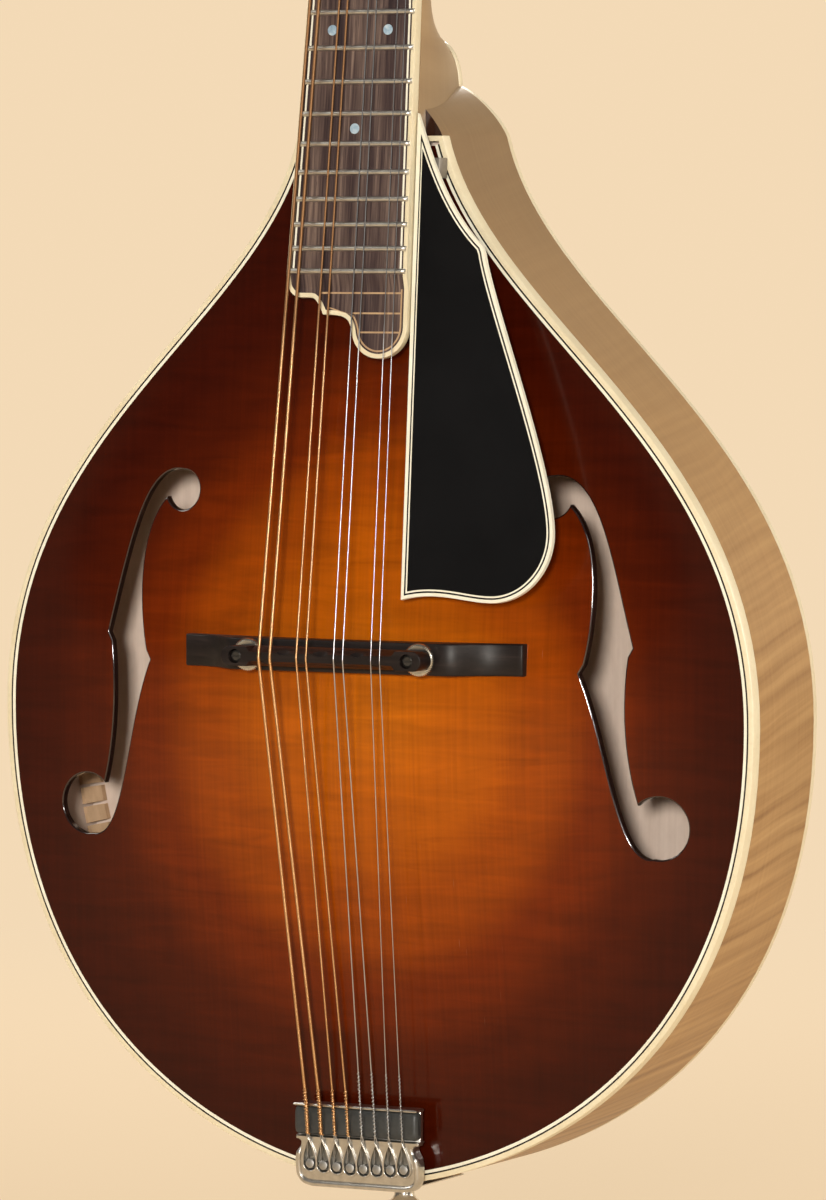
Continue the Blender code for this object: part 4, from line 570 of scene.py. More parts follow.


def makeWoundPaint():
    paint = Paint("bronzeWinding", roughness=0.28, metallic=1.0)
    x, y, z = paint.parts(paint.spot())
    turn = ((z + x * 0.25) * 2600.0).cycle()
    ridge = 1.0 - abs(turn * 2.0 - 1.0) ** 2
    age = paint.noise(paint.spot(), 45.0, 3.0)
    # painted shade: the bronze is darker and duller over the fingerboard
    overBoardShade = z.ease(*shadedStringsZ)
    bronze = paint.ramp(ridge * 0.6 + age * 0.4, [(0.15, (0.26, 0.120, 0.045)), (0.55, (0.60, 0.335, 0.150)),
                                                  (0.9, (0.82, 0.56, 0.32))])
    paint.set("Base Color", paint.blend(overBoardShade * 0.8, bronze, (0.20, 0.098, 0.045)))
    paint.set("Roughness", age * 0.18 + 0.22 + overBoardShade * 0.20)
    paint.bump(ridge, 0.35, 0.00008)
    return paint.material


def makeShadedSteelPaint():  # plain steel, painted darker and duller over the fingerboard as painted shade
    paint = Paint("plainString", roughness=0.3, metallic=1.0)
    x, y, z = paint.parts(paint.spot())
    age = paint.grain(paint.spot(), (300.0, 300.0, 90.0), 3.0)
    # painted shade: the steel is darker and duller over the fingerboard
    overBoardShade = z.ease(*shadedStringsZ)
    bright = paint.ramp(age, [(0.3, (0.46, 0.475, 0.50)), (0.7, (0.60, 0.61, 0.63))])
    paint.set("Base Color", paint.blend(overBoardShade * 0.9, bright, (0.105, 0.105, 0.112)))
    paint.set("Roughness", age * 0.10 + 0.25 + overBoardShade * 0.25)
    return paint.material


def makePearlPaint(name, cool, warm, dark):
    paint = Paint(name, roughness=0.14, coat=0.6, Coat_Roughness=0.05)
    spot = paint.spot()
    swirl = paint.noise(spot, 420.0, 3.0, 0.6, 1.2)
    paint.set("Base Color", paint.ramp(swirl, [(0.25, dark), (0.5, cool), (0.75, warm)]))
    paint.set("Roughness", swirl * 0.15 + 0.08)
    return paint.material


topPaint = makeTopPaint()
ribPaint = makeMaplePaint("flamedRibs", "run", mapleBody, (270.0, 6.0), 0.0, 0.40, 0.05, 1.5)
backPaint = makeMaplePaint("flamedBack", "back", mapleBody, (185.0, 8.0), -0.02, 0.28, 0.25, 1.6)
neckPaint = makeMaplePaint("flamedNeck", "up", mapleNeck, (120.0, 10.0), 0.0, 0.40, 0.05, 0.9)
creamPaint = makeCreamPaint("creamBinding", (0.79, 0.715, 0.52), (0.70, 0.605, 0.41))
ivoryPaint = makeCreamPaint("whiteLine", (0.88, 0.86, 0.74), (0.78, 0.75, 0.60))
tanPaint = makeCreamPaint("tanLine", (0.50, 0.34, 0.20), (0.36, 0.23, 0.13))
blackLinePaint = makeFlatPaint("blackLine", (0.012, 0.011, 0.012), 0.22, coat=0.3)
glossPaint = makeFlatPaint("blackGuard", (0.0045, 0.0045, 0.005), 0.07, depth=0.0, vary=0.3, scale=30.0)
darkEdgePaint = makeFlatPaint("darkLacquer", (0.016, 0.006, 0.005), 0.10, coat=0.8, vary=0.3)
shoulderPaint = makeFlatPaint("darkShoulder", (0.022, 0.0055, 0.0035), 0.18, coat=0.5, vary=0.3, scale=120.0)
boardPaint = makeBoardPaint()
studPaint = makeFlatPaint("darkStud", (0.075, 0.070, 0.064), 0.42, 0.8, vary=0.2, scale=500.0)
ebonyPaint = makeEbonyPaint()
insidePaint = makePlainWoodPaint("bareInside", (0.80, 0.655, 0.56), (0.67, 0.53, 0.445), (420.0, 40.0, 14.0))
liningPaint = makePlainWoodPaint("bareLining", (0.62, 0.41, 0.25), (0.46, 0.29, 0.16), (60.0, 420.0, 60.0))
nickelPaint = makeFlatPaint("nickel", (0.68, 0.655, 0.60), 0.22, 1.0, vary=0.08, scale=500.0, depth=0.10)
castPaint = makeFlatPaint("castNickel", (0.58, 0.565, 0.535), 0.31, 1.0, vary=0.14, scale=380.0, depth=0.18)
fretPaint = makeFlatPaint("fretWire", (0.66, 0.65, 0.62), 0.34, 1.0, vary=0.12, scale=600.0)
steelPaint = makeFlatPaint("plainSteel", (0.46, 0.47, 0.49), 0.34, 1.0, vary=0.08, scale=500.0)
woundPaint = makeWoundPaint()
shadedStringsPaint = makeShadedSteelPaint()
discPaint = makeFlatPaint("satinHook", (0.40, 0.395, 0.38), 0.50, 1.0, vary=0.10, scale=700.0)
# the pockets' darker nickel is painted shade in the tailpiece's recesses
pocketPaint = makeFlatPaint("pocketNickel", (0.36, 0.345, 0.315), 0.42, 1.0, vary=0.16, scale=500.0, depth=0.15)
bonePaint = makeFlatPaint("bone", (0.80, 0.76, 0.64), 0.34, vary=0.05, scale=150.0)
rubberPaint = makeFlatPaint("darkStrip", (0.034, 0.037, 0.038), 0.42, vary=0.25, scale=420.0, depth=0.25)
bracketPaint = makeFlatPaint("dullBracket", (0.20, 0.185, 0.165), 0.46, 0.9, vary=0.2, scale=400.0)
dotPaint = makePearlPaint("bluePearl", (0.36, 0.50, 0.62), (0.60, 0.68, 0.72), (0.20, 0.30, 0.42))
buttonPaint = makePearlPaint("pearlButton", (0.72, 0.66, 0.52), (0.86, 0.82, 0.70), (0.52, 0.45, 0.32))
print("mandolin: finishes made")


# the body
def bodyHalf(steps):
    half = body["width"] / 2
    widest, tail = (half, body["widestZ"]), (0, body["tailZ"])
    corner = body["shoulder"]
    pull = (corner[0] + body["shoulderPull"][0], corner[1] + body["shoulderPull"][1])
    upper = bezier(corner, pull, (half, widest[1] + body["upperPull"]), widest, steps)
    lower = bezier(widest, (half, widest[1] - body["lowerPull"]), (body["tailPull"], tail[1]), tail, steps)
    return upper + lower[1:]


def shoulderCurve(steps=14):
    start, end = body["heelJoint"], body["shoulder"]
    pulls = [(p[0] + d[0], p[1] + d[1]) for p, d in zip((start, end), body["heelBend"])]
    return bezier(start, *pulls, end, steps)


def fretS(number):
    return neck["setback"] + neck["scale"] * 2 ** (-number / 12)


def boardHalf(s):
    taper = (neck["boardWidth"] - neck["nutWidth"]) / 2 / (nutS - fretS(20))
    return neck["nutWidth"] / 2 + (nutS - s) * taper


def boardFace(z):
    return neck["boardHeight"] - math.tan(neck["pitch"]) * z


def glueFace(z):
    return boardFace(z) - (neck["boardThick"] + fit) / math.cos(neck["pitch"])


steps = body["outlineSteps"]
shoulderZ = body["shoulder"][1]
topEdge = symmetric([(boardHalf(shoulderZ / math.cos(neck["pitch"])) + fit, shoulderZ)] + bodyHalf(steps))
backEdge = symmetric(shoulderCurve() + bodyHalf(steps)[1:])
ribLine = [(body["heelJoint"][0] - 0.0020, body["heelJoint"][1] + 0.0006)] + shoulderCurve() + bodyHalf(steps)[1:]
archOutline = offsetPath(topEdge, body["topBinding"] + fit)


def polarTable(outline):
    table = []
    for x, z in outline:
        rise = z - body["archZ"]
        table.append((math.atan2(x, rise), math.hypot(x, rise)))
    return sorted(table)


archTable = polarTable(archOutline)


def rimShare(x, z, table=archTable):
    rise = z - body["archZ"]
    reach = math.hypot(x, rise)
    turn = math.atan2(x, rise)
    low, high = 0, len(table) - 1
    if turn <= table[0][0] or turn >= table[-1][0]:
        a, b = table[-1], (table[0][0] + 2 * math.pi, table[0][1])
        turn = turn if turn >= table[-1][0] else turn + 2 * math.pi
    else:
        while high - low > 1:
            middle = (low + high) // 2
            low, high = (middle, high) if table[middle][0] <= turn else (low, middle)
        a, b = table[low], table[high]
    share = (turn - a[0]) / max(b[0] - a[0], 1e-9)
    return reach / (a[1] * (1 - share) + b[1] * share)


def archShare(share):
    return math.cos(math.pi / 2 * min(share, 1.0) ** body["fullness"]) ** 2


def topHeight(x, z):
    return body["topArch"] * archShare(rimShare(x, z))


def archPlate(outline, outer, inner, rings=34):
    shape = bmesh.new()
    levels = []
    for level, tone in ((outer, 0), (inner, 1)):
        centre = shape.verts.new((0, level(0, body["archZ"]), body["archZ"]))
        grid = []
        for k in range(1, rings + 1):
            share = k / rings
            ring = [(x * share, body["archZ"] + (z - body["archZ"]) * share) for x, z in outline]
            grid.append([shape.verts.new((x, level(x, z), z)) for x, z in ring])
        for i in range(len(outline)):
            j = (i + 1) % len(outline)
            face = shape.faces.new((centre, grid[0][i], grid[0][j]))
            face.material_index = tone
            for ring, wider in zip(grid, grid[1:]):
                face = shape.faces.new((ring[i], ring[j], wider[j], wider[i]))
                face.material_index = tone
        levels.append(grid[-1])
    for i in range(len(outline)):
        j = (i + 1) % len(outline)
        shape.faces.new((levels[0][i], levels[0][j], levels[1][j], levels[1][i]))
    return newMesh("plate", shape)


def soundHole(flip):
    hole = {"upper": (0.0614, 0.0471), "upperR": 0.0060, "lower": (0.0953, -0.0480), "lowerR": 0.0091,
            "outerNick": (0.0872, 0.0040), "innerNick": (0.0714, -0.0037), "nick": 0.0026,
            "outerTop": ((0.0755, 0.0555), (0.0800, 0.0300)), "outerFoot": ((0.0840, -0.0120), (0.0846, -0.0280)),
            "innerFoot": ((0.0820, -0.0590), (0.0805, -0.0240)), "innerTop": ((0.0765, 0.0140), (0.0770, 0.0360))}
    (outerX, outerZ), (innerX, innerZ), nick = hole["outerNick"], hole["innerNick"], hole["nick"]
    top = (hole["upper"][0], hole["upper"][1] + hole["upperR"])
    outer = bezier(top, *hole["outerTop"], hole["outerNick"], 26)
    eye = arc(hole["lower"], hole["lowerR"], 135, -100, 44)
    outerFoot = bezier((outerX - nick * 0.55, outerZ - nick), *hole["outerFoot"], eye[0], 26)
    innerFoot = bezier(eye[-1], *hole["innerFoot"], hole["innerNick"], 26)
    upperEye = arc(hole["upper"], hole["upperR"], -20, -270, 36)
    inner = bezier((innerX + nick * 0.6, innerZ + nick), *hole["innerTop"], upperEye[0], 26)
    outline = outer + outerFoot + eye[1:] + innerFoot[1:] + inner + upperEye[1:-1]
    return [(flip * x, z) for x, z in outline]


def holeLip(flip):  # a quarter round into the hole, then straight down
    outline, r = soundHole(flip), body["holeLip"]
    wider = offsetPath(outline, -flip * r, True)
    levels = [(1 - math.sin(t), r * (1 - math.cos(t))) for t in [math.pi / 2 * k / 5 for k in range(6)]]
    levels += [(0.0, body["graduated"]), (1.0, body["graduated"])]
    rows = []
    for near, far in zip(outline, wider):
        row = []
        for share, drop in levels:
            x, z = [a + (b - a) * share for a, b in zip(near, far)]
            row.append((x, -topHeight(x, z) + drop, z))
        rows.append(row)
    return loftRows(rows + [rows[0]], caps=False)


def topBurst(co):  # 0 in the light middle, 1 at the dark rim
    x, z = co.x, co.z
    # the light middle sits 10 mm towards the treble side: partly the burst's own shape, partly painted light from the
    # right
    share = rimShare(x - 0.010 * (1 - rimShare(x, z)), z)
    lift = max(0.0, (z - 0.045) / 0.11)
    return min(1.0, share * 0.97 + 0.45 * lift * (1 - share) * 1.6)


def makeTop():
    line = body["topBinding"] + body["purflingBlack"] + body["purflingWhite"]
    outline = offsetPath(topEdge, line)

    def inner(x, z):
        share, thick = rimShare(x, z), body["graduated"]
        return -body["topArch"] * archShare(share) + thick + (body["topEdge"] - thick) * share**8

    mesh = archPlate(outline, lambda x, z: -topHeight(x, z), inner)
    tools = []
    for side, flip in sides:
        wider = offsetPath(soundHole(flip), -flip * body["holeLip"], True)
        tools.append(toned(sheetOf("hole", [wider], -body["topArch"] - 0.002, body["topEdge"] * 2), 2))
    mesh = combined(mesh, tools)
    stamp(mesh, "burst", topBurst)
    patches = ((0.030, -0.062, 0.030, 0.075), (0.060, 0.016, 0.016, 0.045))  # worn: x, z and reach
    stamp(mesh, "worn", lambda co: sum(max(0.0, 1 - math.hypot((co.x - x) / wide, (co.z - z) / high))
                                       for x, z, wide, high in patches))
    place("spruceTop", mesh, bodyFrame, [topPaint, insidePaint, darkEdgePaint], stands="top_plate", finish="spruce")
    for side, flip in sides:
        place("holeLip" + side, holeLip(flip), bodyFrame, darkEdgePaint, stands="top_plate", sharp=60)
    start, edge = body["topBinding"], body["topEdge"]
    purflingLine = symmetric([p for p in bodyHalf(steps * 4) if p[1] < shoulderZ - start])
    rim = [(0.0, 0.0003), (0.00009, 0.00009), (0.0003, 0.0), (start, -0.00002), (start, edge), (0.0, edge)]
    for name, width, paint in (("blackPurfling", body["purflingBlack"], blackLinePaint),
                               ("whitePurfling", body["purflingWhite"], ivoryPaint)):
        section = [(start, -0.00004), (start + width, -0.00005), (start + width, 0.003), (start, 0.003)]
        place(name, sweep(purflingLine, section), bodyFrame, paint, stands="top_plate")
        start += width
    place("topBinding", sweep(topEdge, rim), bodyFrame, creamPaint, stands="top_binding", finish="cream")


def makeToneBars():
    bar = {"low": (0.0270, -0.1050), "high": (0.0160, 0.0950), "half": 0.003, "crest": 0.001, "ends": 0.0025,
           "swell": 0.0085}
    for side, flip in sides:
        low, high = [Vector((flip * x, z)) for x, z in (bar["low"], bar["high"])]
        rows = []
        for i in range(25):
            share = i / 24
            x, z = low.lerp(high, share)
            under = -topHeight(x, z) + body["graduated"] + fit
            depth = bar["ends"] + bar["swell"] * max(math.sin(math.pi * share), 0.0) ** 0.6
            half = [(-bar["half"], under - 0.0006), (-bar["half"], under + depth * 0.7), (-bar["crest"], under + depth)]
            rows.append([(x + a, y, z) for a, y in half[:1]] + [(x - a, y, z) for a, y in half]
                        + [(x + a, y, z) for a, y in reversed(half[1:])])
        place("toneBar" + side, loftRows(rows), bodyFrame, insidePaint, stands="tone_bar_" + side.lower())


def makeSides():
    lining = {"width": 0.0050, "height": 0.0065, "kerf": 0.0060, "slot": 0.0009, "start": 0.055, "stop": 0.034}
    wedge = ((0.0, 0.0), (1.0, 0.0), (1.0, 0.35), (0.25, 1.0), (0.0, 1.0))  # share of width and height
    section = [(0.0, ribFront - 0.0002), (0.0, ribBack + 0.0002), (body["rib"], ribBack), (body["rib"], ribFront)]
    nearest = [(Vector(p), run) for p, run in zip(ribLine, pathLengths(ribLine))]
    track = offsetPath(ribLine, body["rib"] + fit)
    lengths = pathLengths(track)
    for side, flip in sides:
        mesh = newMesh("rib", sweep(ribLine[:-1] + [(0.00005, ribLine[-1][1])], section, tones={2: 1}))
        stamp(mesh, "run", lambda co: min(nearest, key=lambda item: (item[0] - co.xz).length_squared)[1])
        mesh.transform(Matrix.Scale(flip, 4, (1, 0, 0)))
        if flip < 0:
            mesh.flip_normals()
        place("rib" + side, mesh, bodyFrame, [ribPaint, insidePaint], stands="rib_" + side.lower(),
              finish="flamed_maple")
        for where, near, far in (("top", ribFront, ribFront + lining["height"]),
                                 ("back", ribBack, ribBack - lining["height"])):
            shape = bmesh.new()
            at = lining["start"]
            while at < lengths[-1] - lining["stop"]:
                ends = []
                for shift in (0.0, lining["kerf"] - lining["slot"]):
                    k = max(i for i, run in enumerate(lengths) if run <= at + shift)
                    a, b = Vector(track[k]), Vector(track[k + 1])
                    point = a.lerp(b, (at + shift - lengths[k]) / (b - a).length)
                    along = (b - a).normalized()
                    inwards = Vector((along.y, -along.x))
                    rows = []
                    for reach, level in wedge:
                        spot = point + inwards * lining["width"] * reach
                        rows.append((flip * spot.x, near + (far - near) * level, spot.y))
                    ends.append(rows)
                loftRows(ends, shape=shape)
                at += lining["kerf"]
            place("%sLining%s" % (where, side), shape, bodyFrame, liningPaint,
                  stands="%s_lining_%s" % (where, side.lower()), sharp=20)
    depth, width = body["depth"], body["backBinding"]
    section = [(0.0, backRim), (0.0, depth - 0.0003), (0.0003, depth), (width, depth), (width, backRim)]
    place("backBinding", sweep(backEdge, section), bodyFrame, creamPaint, stands="back_binding", finish="cream")


def makeBack():
    outline = offsetPath(backEdge, body["backBinding"])
    table = polarTable(outline)

    def level(x, z):
        return body["depth"] + body["backArch"] * archShare(rimShare(x, z, table))

    def inner(x, z):
        share = rimShare(x, z, table)
        return level(x, z) - body["backCentre"] - (body["backEdge"] - body["backCentre"]) * share**2

    place("mapleBack", archPlate(outline, level, inner, 30), bodyFrame, [backPaint, insidePaint],
          stands="back_plate", finish="flamed_maple")


def makeBlocks():
    block = {"headFrom": 0.1260, "headPast": 0.010, "tailHalf": 0.0320, "tailHigh": 0.0180}
    inside = offsetPath(ribLine, body["rib"] + fit)
    half = [p for p in inside if block["headFrom"] <= p[1] <= shoulderZ + block["headPast"]]
    solid = sheetOf("head", [half + mirrored(half)], ribFront, ribBack)
    cap = [p for p in shoulderCurve(24) if p[1] >= shoulderZ]
    cap = sheetOf("cap", [cap + mirrored(cap)], 0.00002, ribFront + 0.0001)
    for face in cap.polygons:
        face.material_index = 1 if face.normal.y < -0.5 else 2
    stamp(cap, "run", lambda co: co.x)
    place("headBlock", joinMeshes([solid, cap]), bodyFrame, [insidePaint, shoulderPaint, ribPaint], stands="head_block")
    near = [p for p in inside if abs(p[0]) <= block["tailHalf"] and p[1] < 0]
    half = [(near[0][0], body["tailZ"] + block["tailHigh"])] + near[:-1] + [(0.0, near[-1][1])]
    solid = sheetOf("tail", [symmetric(half)], ribFront, ribBack)
    place("tailBlock", solid, bodyFrame, insidePaint, stands="tail_block")


makeTop()
makeToneBars()
makeSides()
makeBack()
makeBlocks()
print("mandolin: body made")


# neck, headstock and fingerboard
def neckSection(z, back, flat, squeeze, points=15):
    half = boardHalf(z / math.cos(neck["pitch"]))
    front = glueFace(z)
    section = []
    for i in range(points):
        turn = math.pi / 2 * i / (points - 1)
        x = flat + (half - flat) * math.cos(turn) ** squeeze
        section.append((x, -(front - (front - back) * math.sin(turn)), z))
    return section + [(-x, y, z) for x, y, z in reversed(section)]


head = {
    "length": 0.1580, "thick": 0.0145, "halfFoot": 0.0310, "halfTop": 0.0368, "flare": 0.0240, "corner": 0.0140,
    "crown": 0.0040, "plate": 0.0020, "coverLength": 0.0250, "coverHalf": 0.0075, "coverStart": 0.0008,
    "postFirst": 0.0420, "postPitch": 0.0234, "postSpread": 0.0380, "postRadius": 0.0030,
}


def headOutline():
    foot = neck["nutWidth"] / 2
    rise = head["length"] - head["crown"]
    flare = bezier((foot, 0.0), (foot, head["flare"] * 0.45), (head["halfFoot"] - 0.0020, head["flare"] * 0.45),
                   (head["halfFoot"], head["flare"]), 16)
    corner = bezier((head["halfTop"], rise - head["corner"]), (head["halfTop"], rise),
                    (head["halfTop"] - head["corner"] * 0.4, rise),
                    (head["halfTop"] - head["corner"], head["length"] - head["crown"] * 0.6), 16)
    return symmetric(flare + corner + [(0.0, head["length"])])


def postPlaces():
    bass = [(-head["postSpread"] / 2, head["postFirst"] + head["postPitch"] * i) for i in range(4)]
    return bass + [(-x, z) for x, z in reversed(bass)]


def makeNeck():
    heel = {"squeeze": 2.3, "fall": 5.2, "crown": 0.0004, "edge": 0.0012}
    riser = {"end": 0.0879, "under": 0.0045, "past": 0.006, "inset": 0.0030}
    heelBack = -ribBack
    flat, joint = body["heelJoint"]
    rise = neck["heelTopZ"] - joint
    slant = math.cos(neck["pitch"])
    sections = []
    for i in range(5):
        sections.append(neckSection(shoulderZ + (joint - shoulderZ) * i / 4, heelBack, flat, heel["squeeze"]))
    for i in range(1, 15):
        share = math.sin(math.pi / 2 * i / 15)
        narrow = flat * math.sqrt(1 - share**2)
        sections.append(neckSection(joint + rise * share, heelBack, narrow, heel["squeeze"]))
    start = boardFace(neck["shaftZ"]) - neck["thickHeel"] / slant
    span = neck["shaftZ"] - neck["heelTopZ"]
    for i in range(1, 26):
        share = (i / 26) ** 1.7
        back = start + (heelBack - start) * (1 - share) ** heel["fall"]
        squeeze = 1.0 + (heel["squeeze"] - 1.0) * (1 - share) ** 3
        sections.append(neckSection(neck["heelTopZ"] + span * share, back, heel["crown"], squeeze))
    end = (nutS + neck["nutThick"] + fit) * slant
    for i in range(13):
        share = i / 12
        z = neck["shaftZ"] + (end - neck["shaftZ"]) * share
        thick = neck["thickHeel"] + (neck["thickNut"] - neck["thickHeel"]) * share
        sections.append(neckSection(z, boardFace(z) - thick / slant, heel["crown"], 1.0))
    wood = sheetOf("headWood", [headOutline()], 0.0, head["thick"], 0.0011, 3)
    wood.transform(bodyFrame.inverted() @ headFrame)
    mesh = combined(newMesh("shaft", loftRows(sections)), [wood], "UNION")
    place("neck", mesh, bodyFrame, neckPaint, stands="neck", finish="flamed_maple", sharp=40)

    low, high = riser["end"] - riser["under"], shoulderZ + riser["past"]
    under = [(high, glueFace(high) - 0.0001), (low, glueFace(low) - 0.0001)]
    for z in [low + (high - low) * i / 12 for i in range(13)]:
        under.append((z, topHeight(0, min(z, shoulderZ - 0.0005)) - 0.0006))
    block = newMesh("riser", loftRows([[(flip * neck["boardWidth"] / 2, -h, z) for z, h in under] for flip in (-1, 1)]))
    plan = sheetOf("plan", [drawnIn(list(reversed(boardPath(4))), riser["inset"], False)], -0.03, 0.05)
    block = combined(block, [moved(plan, bodyFrame.inverted() @ neckFrame)], "INTERSECT")
    place("boardRiser", block, bodyFrame, shoulderPaint, stands="neck")

    cap, rise = arc((0.0, 0.0), 1.0, 0, 180, 36), rise - fit
    outline, inner = [[(x * (flat - edge), joint + fit + z * (rise - edge)) for x, z in cap]
                      for edge in (0.0, heel["edge"])]
    edge = sheetOf("edge", [outline + list(reversed(inner))], backRim, body["depth"], 0.0002)
    place("heelButtonEdge", edge, bodyFrame, creamPaint, stands="heel_cap", finish="cream")
    button = sheetOf("button", [inner], backRim, body["depth"] - 0.00005)
    place("heelButton", button, bodyFrame, backPaint, stands="heel_cap")


def boardPath(fine=3):  # round the board from the nut's bass side, past its scrolled end
    board = {"end": 0.0879, "lobeR": 0.0091, "stepUp": 0.0178, "cornerR": 0.0042, "cusp": (-0.0078, 0.0128)}
    end, lobeR, r = board["end"], board["lobeR"], board["cornerR"]
    step = end + board["stepUp"]
    edge = -boardHalf(step)
    lobe = arc((boardHalf(end + lobeR) - lobeR, end + lobeR), lobeR, 188, 360, 10 * fine)
    corner = bezier((edge, step + r), (edge, step + r / 2), (edge + r / 2, step), (edge + r, step), 4 * fine)
    x, z = cusp = (board["cusp"][0], end + board["cusp"][1])
    ridge = bezier((x - r, step), (x - r / 2, step), cusp, cusp, 3 * fine)
    scroll = bezier(cusp, (x + lobeR * 0.8, z), (lobe[0][0] - r / 4, lobe[0][1] + r), lobe[0], 5 * fine)
    half, nutEnd = neck["nutWidth"] / 2, nutS - fit
    return [(-half, nutEnd)] + corner + ridge + scroll[1:] + lobe[1:] + [(half, nutEnd)]


def makeFingerboard():
    look = {"line": 0.0006, "gap": 0.00045, "scoop": 0.0013, "scoopS": fretS(20) - 0.0012, "ramp": 0.0038,
            "fretWidth": 0.0016, "fretHeight": 0.0010, "fretIn": 0.0004, "dot": 0.00155, "dotSpread": 0.0092}
    fretEnd = ((0.0, 0.12), (0.0004, 0.62), (0.0009, 0.97), (0.0014, 1.0))  # inwards, share of the height
    path = list(reversed(boardPath()))
    top, bottom = 0.0, neck["boardThick"]
    ring = path + list(reversed(drawnIn(path, neck["boardBinding"], False)))
    board = sheetOf("board", [drawnIn(path, neck["boardBinding"] + 0.00002, False)], top, bottom)
    edging = sheetOf("edging", [ring], top, bottom, 0.00012)
    low, high, wide, deep = 0.080, look["scoopS"], 0.030, look["scoop"]
    wedge = [(low, -0.002), (low, deep), (high - look["ramp"], deep), (high - look["ramp"] / 2, deep * 0.55),
             (high, 0.0), (high, -0.002)]
    scoop = newMesh("scoop", loftRows([[(side * wide, y, s) for s, y in wedge] for side in (-1, 1)]))
    board = combined(board, [scoop.copy()])
    edging = combined(edging, [scoop])
    place("fingerboard", board, neckFrame, boardPaint, stands="fingerboard", finish="rosewood")
    place("boardBinding", edging, neckFrame, creamPaint, stands="board_binding", finish="cream")

    near = neck["boardBinding"] + look["gap"]
    far = near + look["line"]
    parts = []
    for side in (-1, 1):
        inwards, outwards = [[(side * (boardHalf(s) - shift), s) for s in (high + 0.0004, nutS - 0.0006)]
                             for shift in (near, far)]
        parts.append(sheetOf("strip", [inwards + list(reversed(outwards))], top - 0.00003, top + 0.0004))
    place("whiteBoardLine", joinMeshes(parts), neckFrame, ivoryPaint, stands="fingerboard")
    flat = high - look["ramp"] - 0.0001
    run = [(boardHalf(flat), flat)] + [p for p in path if p[1] < flat and p[0] > -0.0072]
    outer, inner = drawnIn(run, near + 0.0001, False), drawnIn(run, far, False)
    face, sunk = deep - 0.00004, deep + 0.0004
    lines = [sheetOf("curl", [outer + list(reversed(inner))], face, sunk)]
    whole = drawnIn(path, far, False)
    for s in [fretS(number) for number in (21, 22, 23)]:
        crossings = []
        for a, b in zip(whole, whole[1:]):
            if (a[1] - s) * (b[1] - s) < 0:
                crossings.append(a[0] + (b[0] - a[0]) * (s - a[1]) / (b[1] - a[1]))
        if len(crossings) >= 2:
            left, right = sorted(crossings)[-2:]
            lines.append(boxMesh((left, face, s - 0.00026), (right, sunk, s + 0.00026)))
    place("tanBoardLines", joinMeshes(lines), neckFrame, tanPaint, stands="fingerboard")

    shape = bmesh.new()
    turns = [math.pi * k / 8 for k in range(9)]
    wide = look["fretWidth"] / 2
    for number in range(1, 21):
        s = fretS(number)
        half = boardHalf(s) - look["fretIn"]
        rows = []
        for x, share in [(-half + a, h) for a, h in fretEnd] + [(half - a, h) for a, h in reversed(fretEnd)]:
            high = -look["fretHeight"] * share
            crown = [(x, high * math.sin(t) ** 0.8, s - wide * math.cos(t)) for t in turns]
            rows.append(crown + [(x, 0.0005, s + wide), (x, 0.0005, s - wide)])
        loftRows(rows, shape=shape)
    place("frets", shape, neckFrame, fretPaint, stands="fingerboard", finish="steel", sharp=50)
    r, spread = look["dot"], look["dotSpread"]
    disc = [(0.0, -0.00006), (r * 0.8, -0.00006), (r, -0.00002), (r, 0.0006)]
    dots = []
    for after, xs in ((3, (0,)), (5, (0,)), (7, (0,)), (10, (0,)), (12, (-spread, spread)), (15, (0,))):
        s = (fretS(after) + fretS(after - 1)) / 2
        dots += [shifted(turned(disc, 28), x, 0, s) for x in xs]
    place("pearlDots", joinMeshes(dots), neckFrame, dotPaint, stands="fingerboard")


strings = {
    "gauges": (0.00102, 0.00102, 0.00066, 0.00066, 0.00040, 0.00040, 0.00030, 0.00030), "wound": 4,
    "saddleCourse": 0.01215, "saddlePairs": (0.0037, 0.0032, 0.0030, 0.0029), "nutCourse": 0.00735, "nutPair": 0.0024,
    "nutHigh": 0.0012, "tieWire": 0.00020, "windings": 2.5, "windingGap": 0.00045, "windingTop": 0.0078,
}


def stringPlaces():  # across the saddle and across the nut
    rows = []
    for i in range(8):
        course, side = i // 2, (-0.5 if i % 2 == 0 else 0.5)
        rows.append((strings["saddleCourse"] * (course - 1.5) + strings["saddlePairs"][course] * side,
                     strings["nutCourse"] * (course - 1.5) + strings["nutPair"] * side))
    return rows


def makeNut():
    height, base = strings["nutHigh"], neck["boardThick"]
    half = neck["nutWidth"] / 2
    crest = [(-half, -height * 0.75)]
    for (atSaddle, atNut), gauge in zip(stringPlaces(), strings["gauges"]):
        w, top = gauge / 2 + 0.0001, -height + 0.0001
        slot = [(w + 0.0002, -height - 0.0003), (w, top)]
        crest += [(atNut - x, y) for x, y in slot] + [(atNut, top + w * 0.5)]
        crest += [(atNut + x, y) for x, y in reversed(slot)]
    crest += [(half, -height * 0.75), (half, base), (-half, base)]
    rows = []
    for z, drop in ((nutS, 0.0), (nutS + neck["nutThick"] * 0.7, 0.0), (nutS + neck["nutThick"] - fit, 0.0006)):
        rows.append([(x, y + (drop if y < 0.001 else 0.0), z) for x, y in crest])
    place("nut", loftRows(rows), neckFrame, bonePaint, stands="nut", finish="bone", sharp=25)


